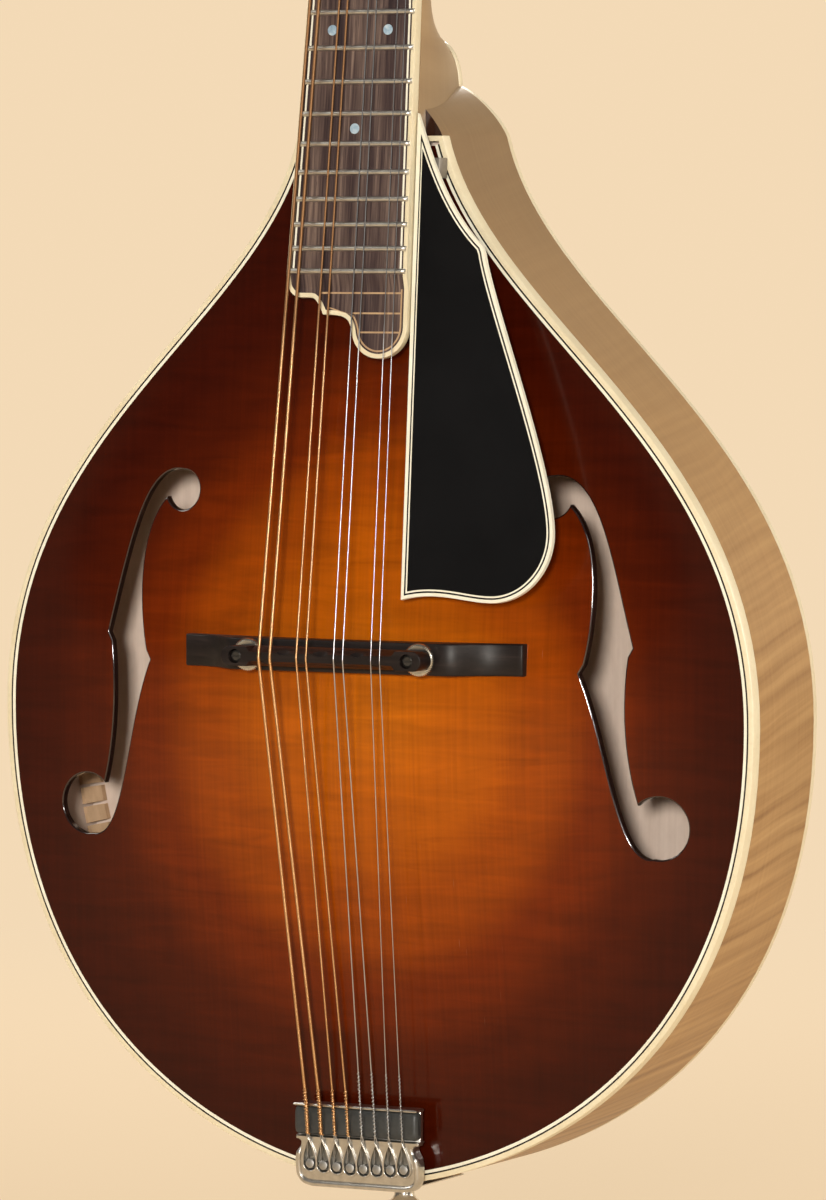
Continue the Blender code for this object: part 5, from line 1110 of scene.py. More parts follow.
def makeHeadstock():
    front = -head["plate"] - fit
    veneer = sheetOf("veneer", [headOutline()], front, -0.0001, 0.0006, 3)
    holes = [shifted(rod(0.0034, -0.01, 0.03), x, 0, z) for x, z in postPlaces()]
    place("headVeneer", combined(veneer, holes), headFrame, glossPaint, stands="head_plate", finish="black_gloss")
    ring = [(0.0032, 0.0), (0.0050, 0.0), (0.0050, -0.0004), (0.0044, -0.0007), (0.0036, -0.0007), (0.0032, -0.0004)]
    washers = [shifted(turned(ring, 32, ring=True), x, front, z) for x, z in postPlaces()]
    place("postWashers", joinMeshes(washers), headFrame, nickelPaint, stands="head_plate")
    half, start, length, face = head["coverHalf"], head["coverStart"], head["coverLength"], front - fit - 0.0015
    side = bezier((half, start), (half * 0.9, start + length * 0.5), (half * 0.35, start + length * 0.55),
                  (0.0, start + length), 22)
    cover = sheetOf("cover", [symmetric(side)], face, front - 0.0001, 0.0003, 2)
    place("rodCover", cover, headFrame, glossPaint, stands="truss_rod_cover", finish="black_gloss")
    screws = [shifted(screwHead(0.0013, 0.0006), x, face, z) for x, z in
              ((-half * 0.62, start + 0.0035), (half * 0.62, start + 0.0035), (0.0, start + length * 0.62))]
    place("coverScrews", joinMeshes(screws), headFrame, nickelPaint, stands="truss_rod_cover")


def screwHead(radius, height):
    dome = [(0.0, -height), (radius * 0.5, -height * 0.9), (radius * 0.85, -height * 0.55), (radius, 0.0),
            (radius, 0.0002), (0.0, 0.0002)]
    slot = boxMesh((-radius * 1.2, -height * 1.6, -radius * 0.14), (radius * 1.2, -height * 0.45, radius * 0.14))
    return combined(turned(dome, 24), [slot])


tuner = {
    "teeth": 14, "pitch": 0.00165, "wormRadius": 0.0020, "addendum": 0.00045, "dedendum": 0.00075, "face": 0.0022,
    "plate": 0.0011, "plateWidth": 0.0170, "margin": 0.0110, "buttonGap": 0.0050, "buttonLength": 0.0135,
    "buttonWidth": 0.0118, "buttonThick": 0.0078, "shaftBack": 0.0072, "postHeight": 0.0115, "postWaist": 0.0024,
    "earR": 0.0027, "earHalf": 0.0006, "earSpread": 0.0052, "screwAside": 0.0060,
}
wheelRadius = tuner["teeth"] * tuner["pitch"] / (2 * math.pi)
wormDepth = head["thick"] + fit + tuner["plate"] + fit + tuner["wormRadius"] + tuner["addendum"]


def gearMesh(low, high):
    rows = []
    pitch = 2 * math.pi / tuner["teeth"]
    lead = tuner["pitch"] / (2 * math.pi * tuner["wormRadius"])
    high1, foot = wheelRadius + tuner["addendum"], wheelRadius - 0.0007
    tooth = ((wheelRadius - 0.00125, -0.5), (foot, -0.36), (wheelRadius, -0.22), (high1, -0.12), (high1, 0.12),
             (wheelRadius, 0.22), (foot, 0.36))  # radius, and share of the pitch
    for i in range(5):
        height = low + (high - low) * i / 4
        lean = ((low + high) / 2 - height) * lead / wheelRadius
        row = []
        for k in range(tuner["teeth"]):
            middle = -math.pi / 2 + pitch * (k + 0.5) + lean
            for radius, share in tooth:
                turn = middle + pitch * share
                row.append((radius * math.cos(turn), height, radius * math.sin(turn)))
        rows.append(row)
    return newMesh("gear", loftRows(rows))


def wormMesh():
    rows = []
    crest, root = tuner["wormRadius"] + tuner["addendum"], (tuner["wormRadius"] - tuner["dedendum"]) * 0.85
    count, each = 56, 24
    for i in range(count + 1):
        turn = 2 * math.pi * (i - count / 2) / each
        x = tuner["pitch"] * turn / (2 * math.pi)
        fade = min(1.0, 3 * i / count, 3 * (count - i) / count)
        top = root + (crest - root) * max(fade, 0.05)
        row = []
        for shift, radius in ((-0.000375, root), (-0.000175, top), (0.000175, top), (0.000375, root)):
            row.append((x + shift, radius * math.cos(turn), radius * math.sin(turn)))
        rows.append(row)
    return newMesh("worm", loftRows(rows))


def postMesh():
    top, low, rise = head["plate"] + fit + tuner["postHeight"], head["plate"] + fit + 0.0008, 0.0088
    r, w, tip = head["postRadius"], tuner["postWaist"], 0.0020
    near, far = wormDepth - tuner["face"] / 2, wormDepth + tuner["face"] / 2
    profile = [(0.0, -top), (r * 0.72, -top), (r * 0.93, -top + 0.0003), (r, -top + 0.0009), (r, -rise - 0.0006),
               (w, -rise), (w, -low), (r, -low + 0.0005), (r, near - fit), (tip, near - fit), (tip, far + 0.0008),
               (tip * 0.8, far + 0.0011), (0.0, far + 0.0011)]
    hole = rod(0.0008, -0.005, 0.005, 16)
    hole.transform(Matrix.Translation((0, -(rise + low) / 2, 0)) @ Matrix.Rotation(math.pi / 2, 4, "X"))
    slot = boxMesh((-0.003, far + 0.0007, -0.0003), (0.003, far + 0.003, 0.0003))
    return joinMeshes([combined(turned(profile, 36), [hole, slot]), toned(gearMesh(near, far), 1)])


def knobMesh():
    reach = head["halfTop"] + tuner["buttonGap"] - head["postSpread"] / 2
    r, back, collar, pin = tuner["wormRadius"] - tuner["dedendum"], -tuner["shaftBack"], 0.0021, 0.0014
    shaft = turned([(0.0, back), (r * 0.8, back), (r, back + 0.0003), (r, reach - 0.0022), (collar, reach - 0.0016),
                    (collar, reach - 0.0004), (pin, reach + 0.0002), (pin, reach + 0.0030), (0.0, reach + 0.0030)], 28)
    shaft.transform(Matrix.Rotation(-math.pi / 2, 4, "Z"))
    button = bmesh.new()
    bmesh.ops.create_uvsphere(button, u_segments=36, v_segments=20, radius=0.5)
    for vert in button.verts:
        p = vert.co
        size = sum(abs(c * 2) ** 2.6 for c in p) ** (1 / 2.6)
        p *= 1 / max(size, 1e-6)
        pinch = 1 - 0.10 * max(0.0, -p.x * 2)
        vert.co = (p.x * tuner["buttonLength"], p.y * tuner["buttonWidth"] * pinch, p.z * tuner["buttonThick"] * pinch)
    button = shifted(newMesh("button", button), reach + tuner["buttonLength"] / 2, 0, 0)
    return joinMeshes([shaft, wormMesh(), toned(button, 1)])


def machinePlate(flip):
    half, r = tuner["plateWidth"] / 2, 0.002
    first, pitch = head["postFirst"], head["postPitch"]
    low, high = first - tuner["margin"] - half * 0.3, first + pitch * 3 + tuner["margin"]
    middle = flip * head["postSpread"] / 2
    back = head["thick"] + fit + tuner["plate"]
    left, right = middle - half + r, middle + half - r
    outline = []
    for cx, cz, turn in ((right, low + r, -90), (right, high - r, 0), (left, high - r, 90), (left, low + r, 180)):
        outline += arc((cx, cz), r, turn, turn + 90, 8)
    parts = [sheetOf("plate", [outline], head["thick"] + 0.0001, back, 0.0002, 2)]
    earR, foot = tuner["earR"], -(wormDepth - back) - 0.0004
    quarter = math.pi / 2
    upright = Matrix.Rotation(quarter, 4, "Z") @ Matrix.Rotation(math.pi, 4, "Y") @ Matrix.Rotation(quarter, 4, "X")
    for x, z in postPlaces():
        if x * flip > 0:
            for shift in (-tuner["earSpread"], tuner["earSpread"]):
                ear = sheetOf("ear", [arc((0, 0), earR, 0, 180, 14) + [(-earR, foot), (earR, foot)]],
                              -tuner["earHalf"], tuner["earHalf"], 0.00015)
                at = Matrix.Translation((x + shift, wormDepth, z - wheelRadius - tuner["wormRadius"]))
                parts.append(moved(ear, at @ upright))
    spots = [(0.0, low + 0.0030), (0.0, high - 0.0030)]
    spots += [(-flip * tuner["screwAside"], first + pitch * (k + 0.45)) for k in range(3)]
    for dx, z in spots:
        turn = Matrix.Translation((middle + dx, back, z)) @ Matrix.Rotation(math.pi, 4, "X")
        parts.append(moved(screwHead(0.0015, 0.0008), turn))
    return joinMeshes(parts)


def makeTuners():
    post, knob = postMesh(), knobMesh()
    for i, (x, z) in enumerate(postPlaces(), 1):
        place("post%d" % i, post.copy(), headFrame @ Matrix.Translation((x, 0, z)), [nickelPaint, nickelPaint],
              "post_%d" % i, "string_post_%d" % i, "nickel")
        outwards, toWheel = Vector((1.0 if x > 0 else -1.0, 0, 0)), Vector((0, 0, 1.0))
        axes = Matrix((outwards, toWheel, outwards.cross(toWheel))).transposed().to_4x4()
        centre = Matrix.Translation((x, wormDepth, z - wheelRadius - tuner["wormRadius"]))
        place("knob%d" % i, knob.copy(), headFrame @ centre @ axes, [nickelPaint, buttonPaint],
              "knob_%d" % i, "tuner_knob_%d" % i, "cream")
    for side, flip in sides:
        place("machinePlate" + side, machinePlate(flip), headFrame, nickelPaint,
              stands="machine_plate_" + side.lower(), finish="nickel")


makeNeck()
makeFingerboard()
makeNut()
makeHeadstock()
makeTuners()
print("mandolin: neck made")


# bridge
bridge = {
    "length": 0.1120, "width": 0.0094, "top": 0.0200, "end": 0.0028, "flatHalf": 0.0330, "soft": 0.0005,
    "saddleHalf": 0.0330, "foot": 0.0240, "saddleTop": 0.0310, "saddleWidth": 0.0058, "crest": 0.0026, "ear": 0.0095,
    "bevelFoot": 0.0030, "studX": 0.0283, "studR": 0.0018, "studTop": 0.0302, "studFoot": 0.0150, "wheelR": 0.00485,
    "wheelBore": 0.0021, "wheelHigh": 0.0020, "knurls": 44, "knurlDeep": 0.00024, "biteR": 0.0042,
    # bites into the crest, so that each course breaks at its own point: across, side and depth
    "bites": ((-0.0123, 1, 0.0006), (0.0, 1, 0.0008), (0.0121, 1, 0.0006), (-0.0179, -1, 0.0006),
              (-0.0061, -1, 0.0004), (0.0060, -1, 0.0005), (0.0182, -1, 0.0003)),
}


def makeBridgeBase():
    half, wide, flat, soft = bridge["length"] / 2, bridge["width"] / 2, bridge["flatHalf"], bridge["soft"]
    end = topHeight(half, 0) + bridge["end"]
    bend = flat + (half - flat) * 0.35
    slope = bezier((flat, bridge["top"]), (bend, bridge["top"]), (bend, end), (half - 0.0005, end), 30)
    slope += [(half - 0.00015, end - 0.00015), (half, end - 0.0005)]
    level = [(x, bridge["top"]) for x in (-0.02, -0.01, 0.0, 0.01, 0.02)]
    rows = []
    for x, top in [(-x, h) for x, h in reversed(slope)] + level + slope:
        w = wide - (0.0003 if half - abs(x) < 0.0001 else 0.0)
        near = [(topHeight(x, wide) - 0.00005, w), (top - soft, w), (top - soft * 0.3, w - soft * 0.3), (top, w - soft)]
        rows.append([(x, -h, -z) for h, z in near] + [(x, -h, z) for h, z in reversed(near)])
    place("bridgeBase", loftRows(rows), bodyFrame, ebonyPaint, stands="bridge_base", finish="ebony", sharp=50)


def makeSaddle():
    half, top, foot = bridge["saddleWidth"] / 2, bridge["saddleTop"], bridge["foot"]
    ends = arc((bridge["saddleHalf"] - half, 0.0), half, 90, -90, 24)
    blank = sheetOf("blank", [ends + mirrored(ends)], -top, -foot, 0.0003, 2)
    reach, crest = bridge["saddleHalf"] - bridge["ear"], bridge["crest"] / 2
    cuts = [(reach + 0.0012, -0.004), (reach, -0.0004), (reach - 0.002, 0.0)]  # along, and lift of the bevel
    cuts = [(-x, lift) for x, lift in cuts] + list(reversed(cuts))
    tools = []
    for side in (-1, 1):
        outer, bevelFoot = side * (half + 0.003), -foot - bridge["bevelFoot"]
        wedge = [(side * crest, -top), (side * crest, -top - 0.002), (outer, -top - 0.002), (outer, bevelFoot),
                 (side * half, bevelFoot)]
        tools.append(newMesh("wedge", loftRows([[(x, y + lift, z) for z, y in wedge] for x, lift in cuts])))
        tools.append(shifted(rod(bridge["studR"] + 0.0003, -0.04, -0.02, 32), side * bridge["studX"], 0, 0))
    r = bridge["biteR"]
    bite = [(0.0, -top - 0.003), (r, -top - 0.003), (r, -top + 0.0006), (0.0018, -top + 0.0026), (0.0, -top + 0.0028)]
    tools += [shifted(turned(bite, 28), x, 0, side * (crest + r - deep)) for x, side, deep in bridge["bites"]]
    for (atSaddle, atNut), gauge in zip(stringPlaces(), strings["gauges"]):
        groove = rod(gauge / 2 + 0.00004, -0.004, 0.004, 12, "Z")
        tools.append(shifted(groove, atSaddle, -(top + gauge / 2 - 0.00022), 0))
    place("bridgeSaddle", combined(blank, tools), bodyFrame, ebonyPaint, "saddle", "bridge_saddle", "ebony", 30)


def makeWheels():
    teeth, r, h = bridge["knurls"], bridge["wheelR"], bridge["wheelHigh"] / 2
    middle = -(bridge["foot"] - fit - h)
    rows = []
    for k in range(teeth * 4):
        turn = 2 * math.pi * k / (teeth * 4)
        out = r - (0.0 if k % 4 < 2 else bridge["knurlDeep"])
        rim = [(bridge["wheelBore"], -h), (out - 0.0006, -h), (out - 0.00015, -h + 0.0003), (out, -h + 0.0005)]
        rim += [(p, -y) for p, y in reversed(rim)]
        rows.append([(p * math.cos(turn), y, p * math.sin(turn)) for p, y in rim])
    wheel = newMesh("wheel", loftRows(rows + [rows[0]], caps=False))
    top, foot, r = -bridge["studTop"], -bridge["studFoot"], bridge["studR"]
    stud = turned([(0.0, top), (r * 0.7, top), (r, top + 0.0004), (r, foot), (0.0, foot)], 28)
    stud = combined(stud, [boxMesh((-0.003, top - 0.001, -0.00025), (0.003, top + 0.0006, 0.00025))])
    for side, flip in sides:
        part = side.lower()
        at = bodyFrame @ Matrix.Translation((flip * bridge["studX"], 0, 0))
        place("thumbwheel" + side, wheel.copy(), at @ Matrix.Translation((0, middle, 0)), nickelPaint,
              "wheel_" + part, "thumbwheel_" + part, "nickel", 28)
        place("bridgeStud" + side, stud.copy(), at, studPaint, stands="bridge_stud_" + part, finish="nickel")


makeBridgeBase()
makeSaddle()
makeWheels()
print("mandolin: bridge made")


# tailpiece
tail = {
    "half": 0.0206, "front": -0.1332, "back": -0.1582, "lipTop": 0.0098, "lip": 0.0010, "lipHalf": 0.0005,
    "stripFloor": 0.0062, "stripLength": 0.0082, "stripHigh": 0.0028, "stripRound": 0.0012, "dent": 0.0003,
    "castTop": 0.0088, "castEnd": 0.0072, "tip": 0.0020, "soft": 0.0009, "frontUnder": 0.0048, "under": 0.0036,
    "floor": 0.0050, "hookZ": -0.1510, "hookPitch": 0.00447, "hookTop": 0.0085, "disc": 0.00142, "leg": 0.0005,
    "legHalf": 0.0140, "legDrop": 0.0340, "pocketR": 0.00206, "pocketPeak": 0.0071, "rimWide": 0.00055,
    "rimHigh": 0.0007, "borderR": 0.00095, "buttonZ": -0.1587, "buttonLow": 0.0222,
    # the casting's narrowing: first from its front edge, then from its lower end
    "narrowFront": ((0.0, 0.0001), (0.0008, 0.0006), (0.0018, 0.0020), (0.0030, 0.0018), (0.0050, 0.0007),
                    (0.0075, 0.0002)),
    "narrowEnd": ((0.0042, 0.0003), (0.0028, 0.0006), (0.0017, 0.0012), (0.0009, 0.0020), (0.0003, 0.0031),
                  (0.0, 0.0046)),
}
stripFront = tail["front"] - tail["lip"]
castStart = stripFront - tail["stripLength"] - 2 * fit


def hookPlaces():
    rows = []
    for i in range(8):
        across = i - 3.5
        rows.append((tail["hookPitch"] * across, tail["hookZ"] - 0.0010 * (1 - (across / 4.5) ** 2)))
    return rows


def castTop(z):
    bend = tail["back"] + tail["tip"]
    if z > bend:
        return tail["castTop"] + (tail["castEnd"] - tail["castTop"]) * (castStart - z) / (castStart - bend)
    return tail["castEnd"] - 0.0014 * ((bend - z) / tail["tip"]) ** 1.5


def castHalf(z):
    plan = [(castStart - a, inset) for a, inset in tail["narrowFront"]]
    plan += [(tail["back"] + a, inset) for a, inset in tail["narrowEnd"]]
    for (z0, in0), (z1, in1) in zip(plan, plan[1:]):
        if z >= z1:
            return tail["half"] - (in0 + (in1 - in0) * max(0.0, (z0 - z) / (z0 - z1)))
    return tail["half"] - plan[-1][1]


def castingMesh():
    rows = []
    count, soft = 64, tail["soft"]
    for i in range(count + 1):
        z = castStart + (tail["back"] - castStart) * (1 - (1 - i / count) ** 1.4)
        w, top, low = castHalf(z), castTop(z), tail["under"]
        if i in (0, count):
            top -= 0.0005
            low += 0.0003
        side = [(w - 0.0004, low), (w, low + 0.0004)]
        side += [(w - soft * inwards, top - soft * down) for inwards, down in
                 ((0.0, 1.0), (0.08, 0.6), (0.3, 0.28), (0.65, 0.06), (1.0, 0.0))]
        rows.append([(x, -h, z) for x, h in side] + [(-x, -h, z) for x, h in reversed(side)])
    return newMesh("casting", loftRows(rows))


def teardrop(x, z, grow=0.0):
    r, top = tail["pocketR"] + grow, z + tail["pocketPeak"] + grow * 2.2
    lean = math.degrees(math.acos(r / (top - z)))
    bow = arc((x, z), r, 90 + lean, 450 - lean, 36)
    left, right = [bezier((x, top), (x + flip * 0.0009, top - 0.0018), (u + flip * 0.0002, w + 0.0016), (u, w), 10)
                   for flip, (u, w) in ((-1, bow[0]), (1, bow[-1]))]
    return left + bow[1:] + list(reversed(right))[1:-1]


def castParts():  # tone 1 inside the pockets, 2 on the hooks
    back, floor, top = tail["back"], tail["floor"], tail["hookTop"]
    pockets = [toned(sheetOf("pocket", [teardrop(x, z)], -0.0120, -floor), 1) for x, z in hookPlaces()]
    parts = [combined(castingMesh(), pockets)]
    flank = []
    for i in range(27):
        z = castStart - 0.0034 - (castStart - 0.0034 - back) * (i / 26)
        high = castTop(max(z, back + 0.0022)) - 0.0003
        flank.append(Vector((castHalf(z) - 0.0006, -high, z + 0.0009 * max(0.0, 1 - (z - back) / 0.004))))
    border = flank + [Vector((-p.x, p.y, p.z)) for p in reversed(flank)]
    fade = [min(1.0, 0.15 + min(i, len(border) - 1 - i) / 5) for i in range(len(border))]
    parts.append(newMesh("border", tube(border, [tail["borderR"] * f for f in fade], 12)))
    r = tail["disc"]
    peg = [(0.0, -top), (r * 0.82, -top), (r * 0.97, -top + 0.00012), (r, -top + 0.00035), (r, -top + 0.0007),
           (r * 0.86, -top + 0.0012), (r * 0.84, -floor + 0.0003), (0.0, -floor + 0.0003)]
    for x, z in hookPlaces():
        rim = sheetOf("rim", [teardrop(x, z, tail["rimWide"]), teardrop(x, z, -0.00002)],
                      -tail["castTop"] - tail["rimHigh"], -floor - 0.001, 0.00022, 3)
        for vert in rim.vertices:
            if vert.co.y < -0.0075:  # the rim's top follows the casting's slope
                vert.co.y += tail["castTop"] - castTop(vert.co.z)
        parts += [rim, shifted(toned(turned(peg), 2), x, 0, z)]
    return parts


def bedAndLip():
    half, front, under, wall = tail["half"], tail["front"] - 0.0002, tail["frontUnder"], castStart - 0.0002
    high, behind, sunk = tail["castTop"] - 0.0008, castStart - 0.0012, tail["stripFloor"] + 0.0004
    bed = [(front, under), (front, sunk), (wall, sunk), (wall, high), (behind, high), (behind, under)]
    bed = newMesh("bed", loftRows([[(x, -h, z) for z, h in bed] for x in (-half + 0.0002, half - 0.0002)]))
    middle = tail["front"] - tail["lipHalf"]
    rows = []
    for x, grow in ((-half, 0.5), (-half + 0.0002, 0.85), (-half + 0.0006, 1.0), (half - 0.0006, 1.0),
                    (half - 0.0002, 0.85), (half, 0.5)):
        reach, top = tail["lipHalf"] * grow, tail["lipTop"] - 0.0004 * (1 - grow)
        near = [(under, reach), (top - 0.0005, reach), (top - 0.00015, reach * 0.7)]
        rows.append([(x, -h, middle + z) for h, z in near] + [(x, -top, middle)]
                    + [(x, -h, middle - z) for h, z in reversed(near)])
    return [softened(bed, 0.0002), newMesh("lip", loftRows(rows))]


def legMesh():
    edge, wide, drop = body["tailZ"] - 0.0001, tail["legHalf"], -tail["legDrop"]
    top, face, bend = castTop(tail["back"]) - 0.0008, edge - tail["leg"], tail["back"] + 0.0030
    turn = [(bend, tail["under"] + 0.0010), (tail["back"] + 0.0004, top), (face + 0.0006, top - 0.0002),
            (face + 0.0001, top - 0.0009), (face, top - 0.0022), (face, drop + 0.001), (face + 0.0002, drop),
            (edge - 0.0001, drop), (edge - 0.0001, 0.0004), (edge + 0.0006, 0.0014), (bend, tail["under"] - 0.0002)]
    ends = [(-wide, 0.0003), (-wide + 0.0003, 0.0), (wide - 0.0003, 0.0), (wide, 0.0003)]
    rows = [[(x, -h, z + (inset if z < edge - 0.0003 else 0)) for z, h in turn] for x, inset in ends]
    bore = rod(0.0026, -0.01, 0.01, 24, "Z")
    return combined(newMesh("leg", loftRows(rows)), [shifted(bore, 0, tail["buttonLow"], edge)])


def makeTailpiece():
    mesh = joinMeshes(castParts() + bedAndLip() + [legMesh()])
    place("tailpiece", mesh, bodyFrame, [castPaint, pocketPaint, discPaint], stands="tailpiece", finish="nickel",
          sharp=38)
    makeStrip()
    button = [(0.0, 0.0140), (0.0022, 0.0130), (0.0022, 0.0005), (0.0040, 0.0004), (0.0040, -0.0004),
              (0.0033, -0.0010), (0.0030, -0.0022), (0.0030, -0.0046), (0.0036, -0.0058), (0.0048, -0.0067),
              (0.0050, -0.0072), (0.0050, -0.0077), (0.0047, -0.0082), (0.0044, -0.0085), (0.0, -0.0085)]
    at = Matrix.Translation((0, tail["buttonLow"], tail["buttonZ"]))
    place("strapButton", turned(button, 40, axis="Z"), bodyFrame @ at, nickelPaint, stands="strap_button",
          finish="nickel")


def makeStrip():
    half, length, bend = tail["half"] - 0.0001, tail["stripLength"] / 2, tail["stripRound"]
    middle, low = stripFront - 0.0001 - length, tail["stripFloor"] + 0.0003
    start = [0.0, 0.00008, 0.0003, 0.0007, bend]
    stations = start + [bend + (2 * half - 2 * bend) * i / 110 for i in range(1, 110)]
    rows = []
    for s in stations + [2 * half - s for s in reversed(start)]:
        x = s - half
        edge = min(1.0, min(s, 2 * half - s) / bend)
        grow = max(0.35, math.sqrt(1 - (1 - edge) ** 2))
        dent = max(tail["dent"] * math.exp(-((x - hx) / 0.0007) ** 2) for hx, hz in hookPlaces())
        top = tail["stripFloor"] + fit + tail["stripHigh"] * (0.5 + 0.5 * grow) - dent
        reach = length * (0.72 + 0.28 * grow)
        near = [(low, 0.0), (top - 0.0009, 0.0), (top - 0.0004, 0.0003), (top - 0.0001, 0.0010), (top, 0.0022)]
        rows.append([(x, -h, middle + reach - inset) for h, inset in near]
                    + [(x, -h, middle - reach + inset) for h, inset in reversed(near)])
    place("damperStrip", loftRows(rows), bodyFrame, rubberPaint, stands="damper_strip", finish="rubber")


makeTailpiece()
print("mandolin: tailpiece made")


# pickguard
guard = {
    "front": 0.0029, "back": 0.0045, "kink": (0.0424, 0.1211), "widest": (0.0702, 0.0385), "corner": (0.0500, 0.0176),
    "top": 0.1600, "foot": 0.0178, "shoulder": ((0.0239, 0.1478), (0.0301, 0.1318)),
    "flank": ((0.0462, 0.1050), (0.0690, 0.0572)), "round": ((0.0710, 0.0270), (0.0620, 0.0170)),
    "base": ((0.0420, 0.0178), (0.0330, 0.0208)), "lines": (0.0, 0.00095, 0.00145, 0.00195),
    "bracketLow": 0.1395, "bracketHigh": 0.1455, "bracketWide": 0.0056, "bracketSheet": 0.0010,
}


def guardOutline():
    (kinkX, kinkZ), top, foot = guard["kink"], guard["top"], guard["foot"]
    shoulder = bezier((boardHalf(top) + fit, top), *guard["shoulder"], guard["kink"], 20)
    flank = bezier((kinkX + 0.0008, kinkZ - 0.0019), *guard["flank"], guard["widest"], 30)
    corner = bezier(guard["widest"], *guard["round"], guard["corner"], 24)
    base = bezier(corner[-1], *guard["base"], (boardHalf(foot) + fit, foot), 14)
    return shoulder + flank + corner[1:] + base[1:]


def makeGuard():
    front, back, outline = guard["front"], guard["back"], guardOutline()
    tracks = [drawnIn(outline, inset) if inset else outline for inset in guard["lines"]]
    for name, outer, inner, paint in zip(("guardWhiteEdge", "guardBlackLine", "guardWhiteLine"), tracks, tracks[1:],
                                         (ivoryPaint, blackLinePaint, ivoryPaint)):
        mesh = sheetOf(name, [outer, inner], front + (0.0 if outer is outline else 0.00002), back)
        place(name, mesh, neckFrame, paint, stands="pickguard_binding")
    core = sheetOf("core", [tracks[-1]], front - 0.00002, back)
    place("pickguard", core, neckFrame, glossPaint, stands="pickguard", finish="black_gloss")
    low, high, sheet = guard["bracketLow"], guard["bracketHigh"], guard["bracketSheet"]
    left = boardHalf(low) + 0.0012
    right = left + guard["bracketWide"]
    ceiling = boardFace(high) - back / math.cos(neck["pitch"]) - fit
    floor = topHeight(left, low) + 0.0001
    profile = [(left, floor), (right, floor), (right, ceiling), (left, ceiling), (left, ceiling - sheet),
               (right - sheet, ceiling - sheet), (right - sheet, floor + sheet), (left, floor + sheet)]
    bracket = newMesh("bracket", loftRows([[(x, -h, z) for x, h in profile] for z in (low, high)]))
    screw = shifted(screwHead(0.0014, 0.0008), left + 0.0020, -floor - sheet, (low + high) / 2)
    place("guardBracket", joinMeshes([softened(bracket, 0.0003), screw]), bodyFrame, bracketPaint,
          stands="pickguard_bracket", finish="nickel")


makeGuard()


# strings
def hookLoop(index, wire):
    hookX, hookZ = hookPlaces()[index]
    level = tail["floor"] + (tail["hookTop"] - tail["floor"]) * 0.45
    reach = tail["disc"] * 0.86 + 0.00002 + wire
    ring = arc((hookX, hookZ), reach, 150, 385, 24)
    return [Vector((x, -(level + 0.0004 * i / 24), z)) for i, (x, z) in enumerate(ring)]


def nutAndPost(index, radius):  # from the nut's edge to the end of the winding
    toBody = bodyFrame.inverted()
    over = -(strings["nutHigh"] + 0.00002) - radius + 0.0001
    atNut = stringPlaces()[index][1]
    path = [toBody @ neckFrame @ Vector((atNut, over, s)) for s in (nutS, nutS + neck["nutThick"] * 0.8)]
    postX, postZ = postPlaces()[index]
    sign = 1 if postX < 0 else -1
    wrap = tuner["postWaist"] + 0.0001 + radius
    drop, first = 2 * radius + strings["windingGap"], strings["windingTop"] - radius
    for i in range(61):
        turn = 2 * math.pi * strings["windings"] * i / 60
        x = postX + sign * wrap * math.cos(turn)
        height = first - drop * turn / (2 * math.pi)
        path.append(toBody @ headFrame @ Vector((x, -height, postZ + wrap * math.sin(turn))))
    return path


def makeStrings():
    for index, gauge in enumerate(strings["gauges"]):
        wound = index < strings["wound"]
        paint, finish = (woundPaint, "bronze") if wound else (shadedStringsPaint, "steel")
        lockRun, lockTurns, lockWire = (0.004, 14, 1.35) if wound else (0.010, 17, 0.95)
        name, node = "string%d" % (index + 1), "string_%d" % (index + 1)
        radius = gauge / 2
        wire = min(radius, strings["tieWire"])
        hookX = hookPlaces()[index][0]
        over = max(tail["stripFloor"] + tail["stripHigh"], tail["castTop"]) + 0.0003 + radius
        twist = Vector((hookX + 0.0002, -over, stripFront - tail["stripLength"]))
        front = Vector((hookX, -(tail["lipTop"] + 0.00005 + radius), tail["front"] + 0.0004))
        saddle = Vector((stringPlaces()[index][0], -(bridge["saddleTop"] + 0.00002 + radius - 0.0002), 0.0))
        straight = [twist, twist.lerp(front, 0.33), twist.lerp(front, 0.66), front]
        straight += [front.lerp(saddle, i / 40) for i in range(1, 41)]
        loop = hookLoop(index, wire)
        legs = [[end.lerp(twist, 0.4) + Vector((side * 0.0002, -0.0003, 0)), twist + Vector((side * wire, 0, 0.0004))]
                for end, side in ((loop[0], -1), (loop[-1], 1))]
        loop = list(reversed(legs[0])) + loop + legs[1]
        past = front + (saddle - front).normalized() * lockRun
        away = radius * 0.75 + wire * 0.55
        strand = []
        for i in range(191):
            turn = 2 * math.pi * (i / 190) * lockTurns
            strand.append(twist.lerp(past, i / 190) + Vector((math.cos(turn) * away, math.sin(turn) * away, 0)))
        mesh = joinMeshes([newMesh("lower", tube(straight, radius)), toned(newMesh("loop", tube(loop, wire, 8)), 1),
                           newMesh("lock", tube(strand, wire * lockWire, 7))])
        piece = place(name + "Lower", mesh, bodyFrame, [paint, steelPaint], None, node, finish, 60)
        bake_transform(piece)
        rest = nutAndPost(index, radius)
        upper = [saddle.lerp(rest[0], i / 60) for i in range(61)] + rest[1:]
        piece = place(name + "Upper", tube(upper, radius), bodyFrame, paint, None, node, finish, 60)
        bodyFrame @ rest[0]
        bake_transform(piece)


makeStrings()
print("mandolin: strings made")


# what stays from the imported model
def paintKept(node, paint):
    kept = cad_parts[node]
    kept.data.materials.clear()
    kept.data.materials.append(paint)


paintKept("truss_rod", steelPaint)


